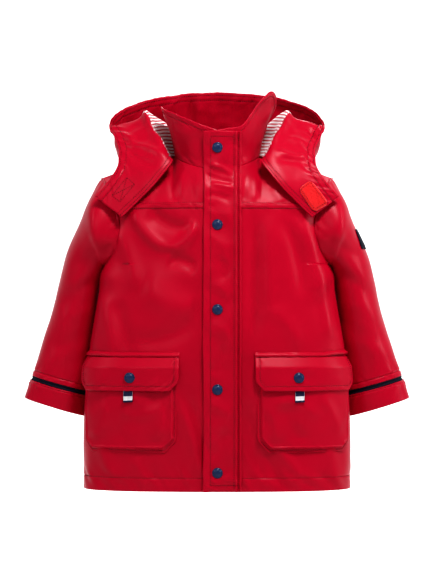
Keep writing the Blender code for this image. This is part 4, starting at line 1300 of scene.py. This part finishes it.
hood_lines = []
from_neck = np.linalg.norm(base - base[:, :1], axis=2)
for inset in RIM_STITCHES:
    hood_lines.append(line_in(base, out, np.argmin(np.abs(from_rim - inset), axis=1)))
for inset in TAB_STITCHES:
    for on_tab in (hood_runs > TAB_FROM, hood_runs < -TAB_FROM):
        at = np.argmin(np.abs(from_neck - inset), axis=1)
        hood_lines.append(line_in(base[on_tab], out[on_tab], at[on_tab]))
facing_tree = tree_of(hood_facing)
BOX_CORNERS = ((-130.5, -26), (-119, -36), (-140, -61), (-152, -52))


def outlined(corners, closed=True, gap=1.2):
    """Points at even steps round a figure of straight sides."""
    ends = list(corners[1:]) + ([corners[0]] if closed else [])
    points = []
    for start, end in zip(corners, ends):
        count = max(2, int(math.dist(start, end) / gap))
        points += [(start[0] + (end[0] - start[0]) * t, start[1] + (end[1] - start[1]) * t)
                   for t in np.linspace(0, 1, count, endpoint=False)]
    return points


hood_lines.append(line_on(facing_tree, outlined(BOX_CORNERS)))
hood_lines.append(line_on(facing_tree, outlined(BOX_CORNERS[::2], closed=False)))
hood_lines.append(line_on(facing_tree, outlined(BOX_CORNERS[1::2], closed=False)))
sewn("hood_stitches", [line for line in hood_lines if len(line[0]) > 2], red_thread)


# The loop patch on the left chin tab: a rounded piece of brushed loop tape, the soft half of the hood's
# chin closure, stitched all round.

loop_tape, loop_tree, loop_shader = finish("red_loop_tape", 1.0)
loop_pile = texture(loop_tree, "Noise", 1500, 5)
tinted(loop_tree, loop_shader, loop_pile, (0.44, 0.0, 0.003), (0.78, 0.0, 0.008))
dented(loop_tree, loop_shader, loop_pile, 0.8, 0.0007)
loop_shader.inputs["Sheen Weight"].default_value = 0.6

PATCH_CORNERS = np.array((((140, -77), (162, -63)), ((117, -43), (136, -29))), float)
PATCH_STITCHES = ((141, -72), (157, -62), (135, -33), (121, -43))
rows = []
for v in np.linspace(0, 1, 44):
    row = []
    for u in np.linspace(0, 1, 26):
        # The corners are rounded by easing the outline of a square into a fuller circle's.
        s, t = 2 * u - 1, 2 * v - 1
        soft = 0.16
        su, tv = s * (1 - soft * t ** 6 * abs(s) ** 3), t * (1 - soft * s ** 6 * abs(t) ** 3)
        uu, vv = (su + 1) / 2, (tv + 1) / 2
        x, z = ((PATCH_CORNERS[0][0] * (1 - uu) + PATCH_CORNERS[0][1] * uu) * (1 - vv)
                + (PATCH_CORNERS[1][0] * (1 - uu) + PATCH_CORNERS[1][1] * uu) * vv)
        edge = min(1 - abs(s), 1 - abs(t))
        pile = 0.5 * noise.noise(Vector((x / 1.3, z / 1.3, 3.0)))
        pile += 0.4 * noise.noise(Vector((x / 3, z / 3, 9.0)))
        lift = 1.5 + 1.1 * (1 - math.exp(-edge * 9)) + pile
        ahead = front_y(facing_tree, x, z)
        row.append((x, (ahead if ahead is not None else row[-1][1] + 1.5) - lift, z))
    rows.append(row)
loop_patch = cloth("loop_patch", np.array(rows), 1.1, loop_tape)
piece_of_cloth(loop_patch, "loop_patch")
patch_tree = tree_of(loop_patch)
sewn("patch_stitches", [line_on(patch_tree, outlined(PATCH_STITCHES))], red_thread)


# The label on the left arm: a plain square of navy tape with nothing on it, its edges turned in and sewn
# flat to the sleeve.

LABEL_Z = (-128, -100)
LABEL_Y = (-6, 26)
arm_tree = tree_of(body_pieces["sleeve_left"])
rows = []
for z in np.linspace(*LABEL_Z, 26):
    row = []
    for y in np.linspace(*LABEL_Y, 28):
        hit, normal, _, _ = arm_tree.ray_cast((400, y, z), (-1, 0, 0))
        edge = min(y - LABEL_Y[0], LABEL_Y[1] - y, z - LABEL_Z[0], LABEL_Z[1] - z)
        row.append(np.array(hit) + np.array(normal) * (1.6 - 0.5 * math.exp(-((edge - 2) / 0.8) ** 2)))
    rows.append(row)
arm_label = cloth("arm_label", np.array(rows), 1.0, navy_tape)
piece_of_cloth(arm_label, "arm_label")
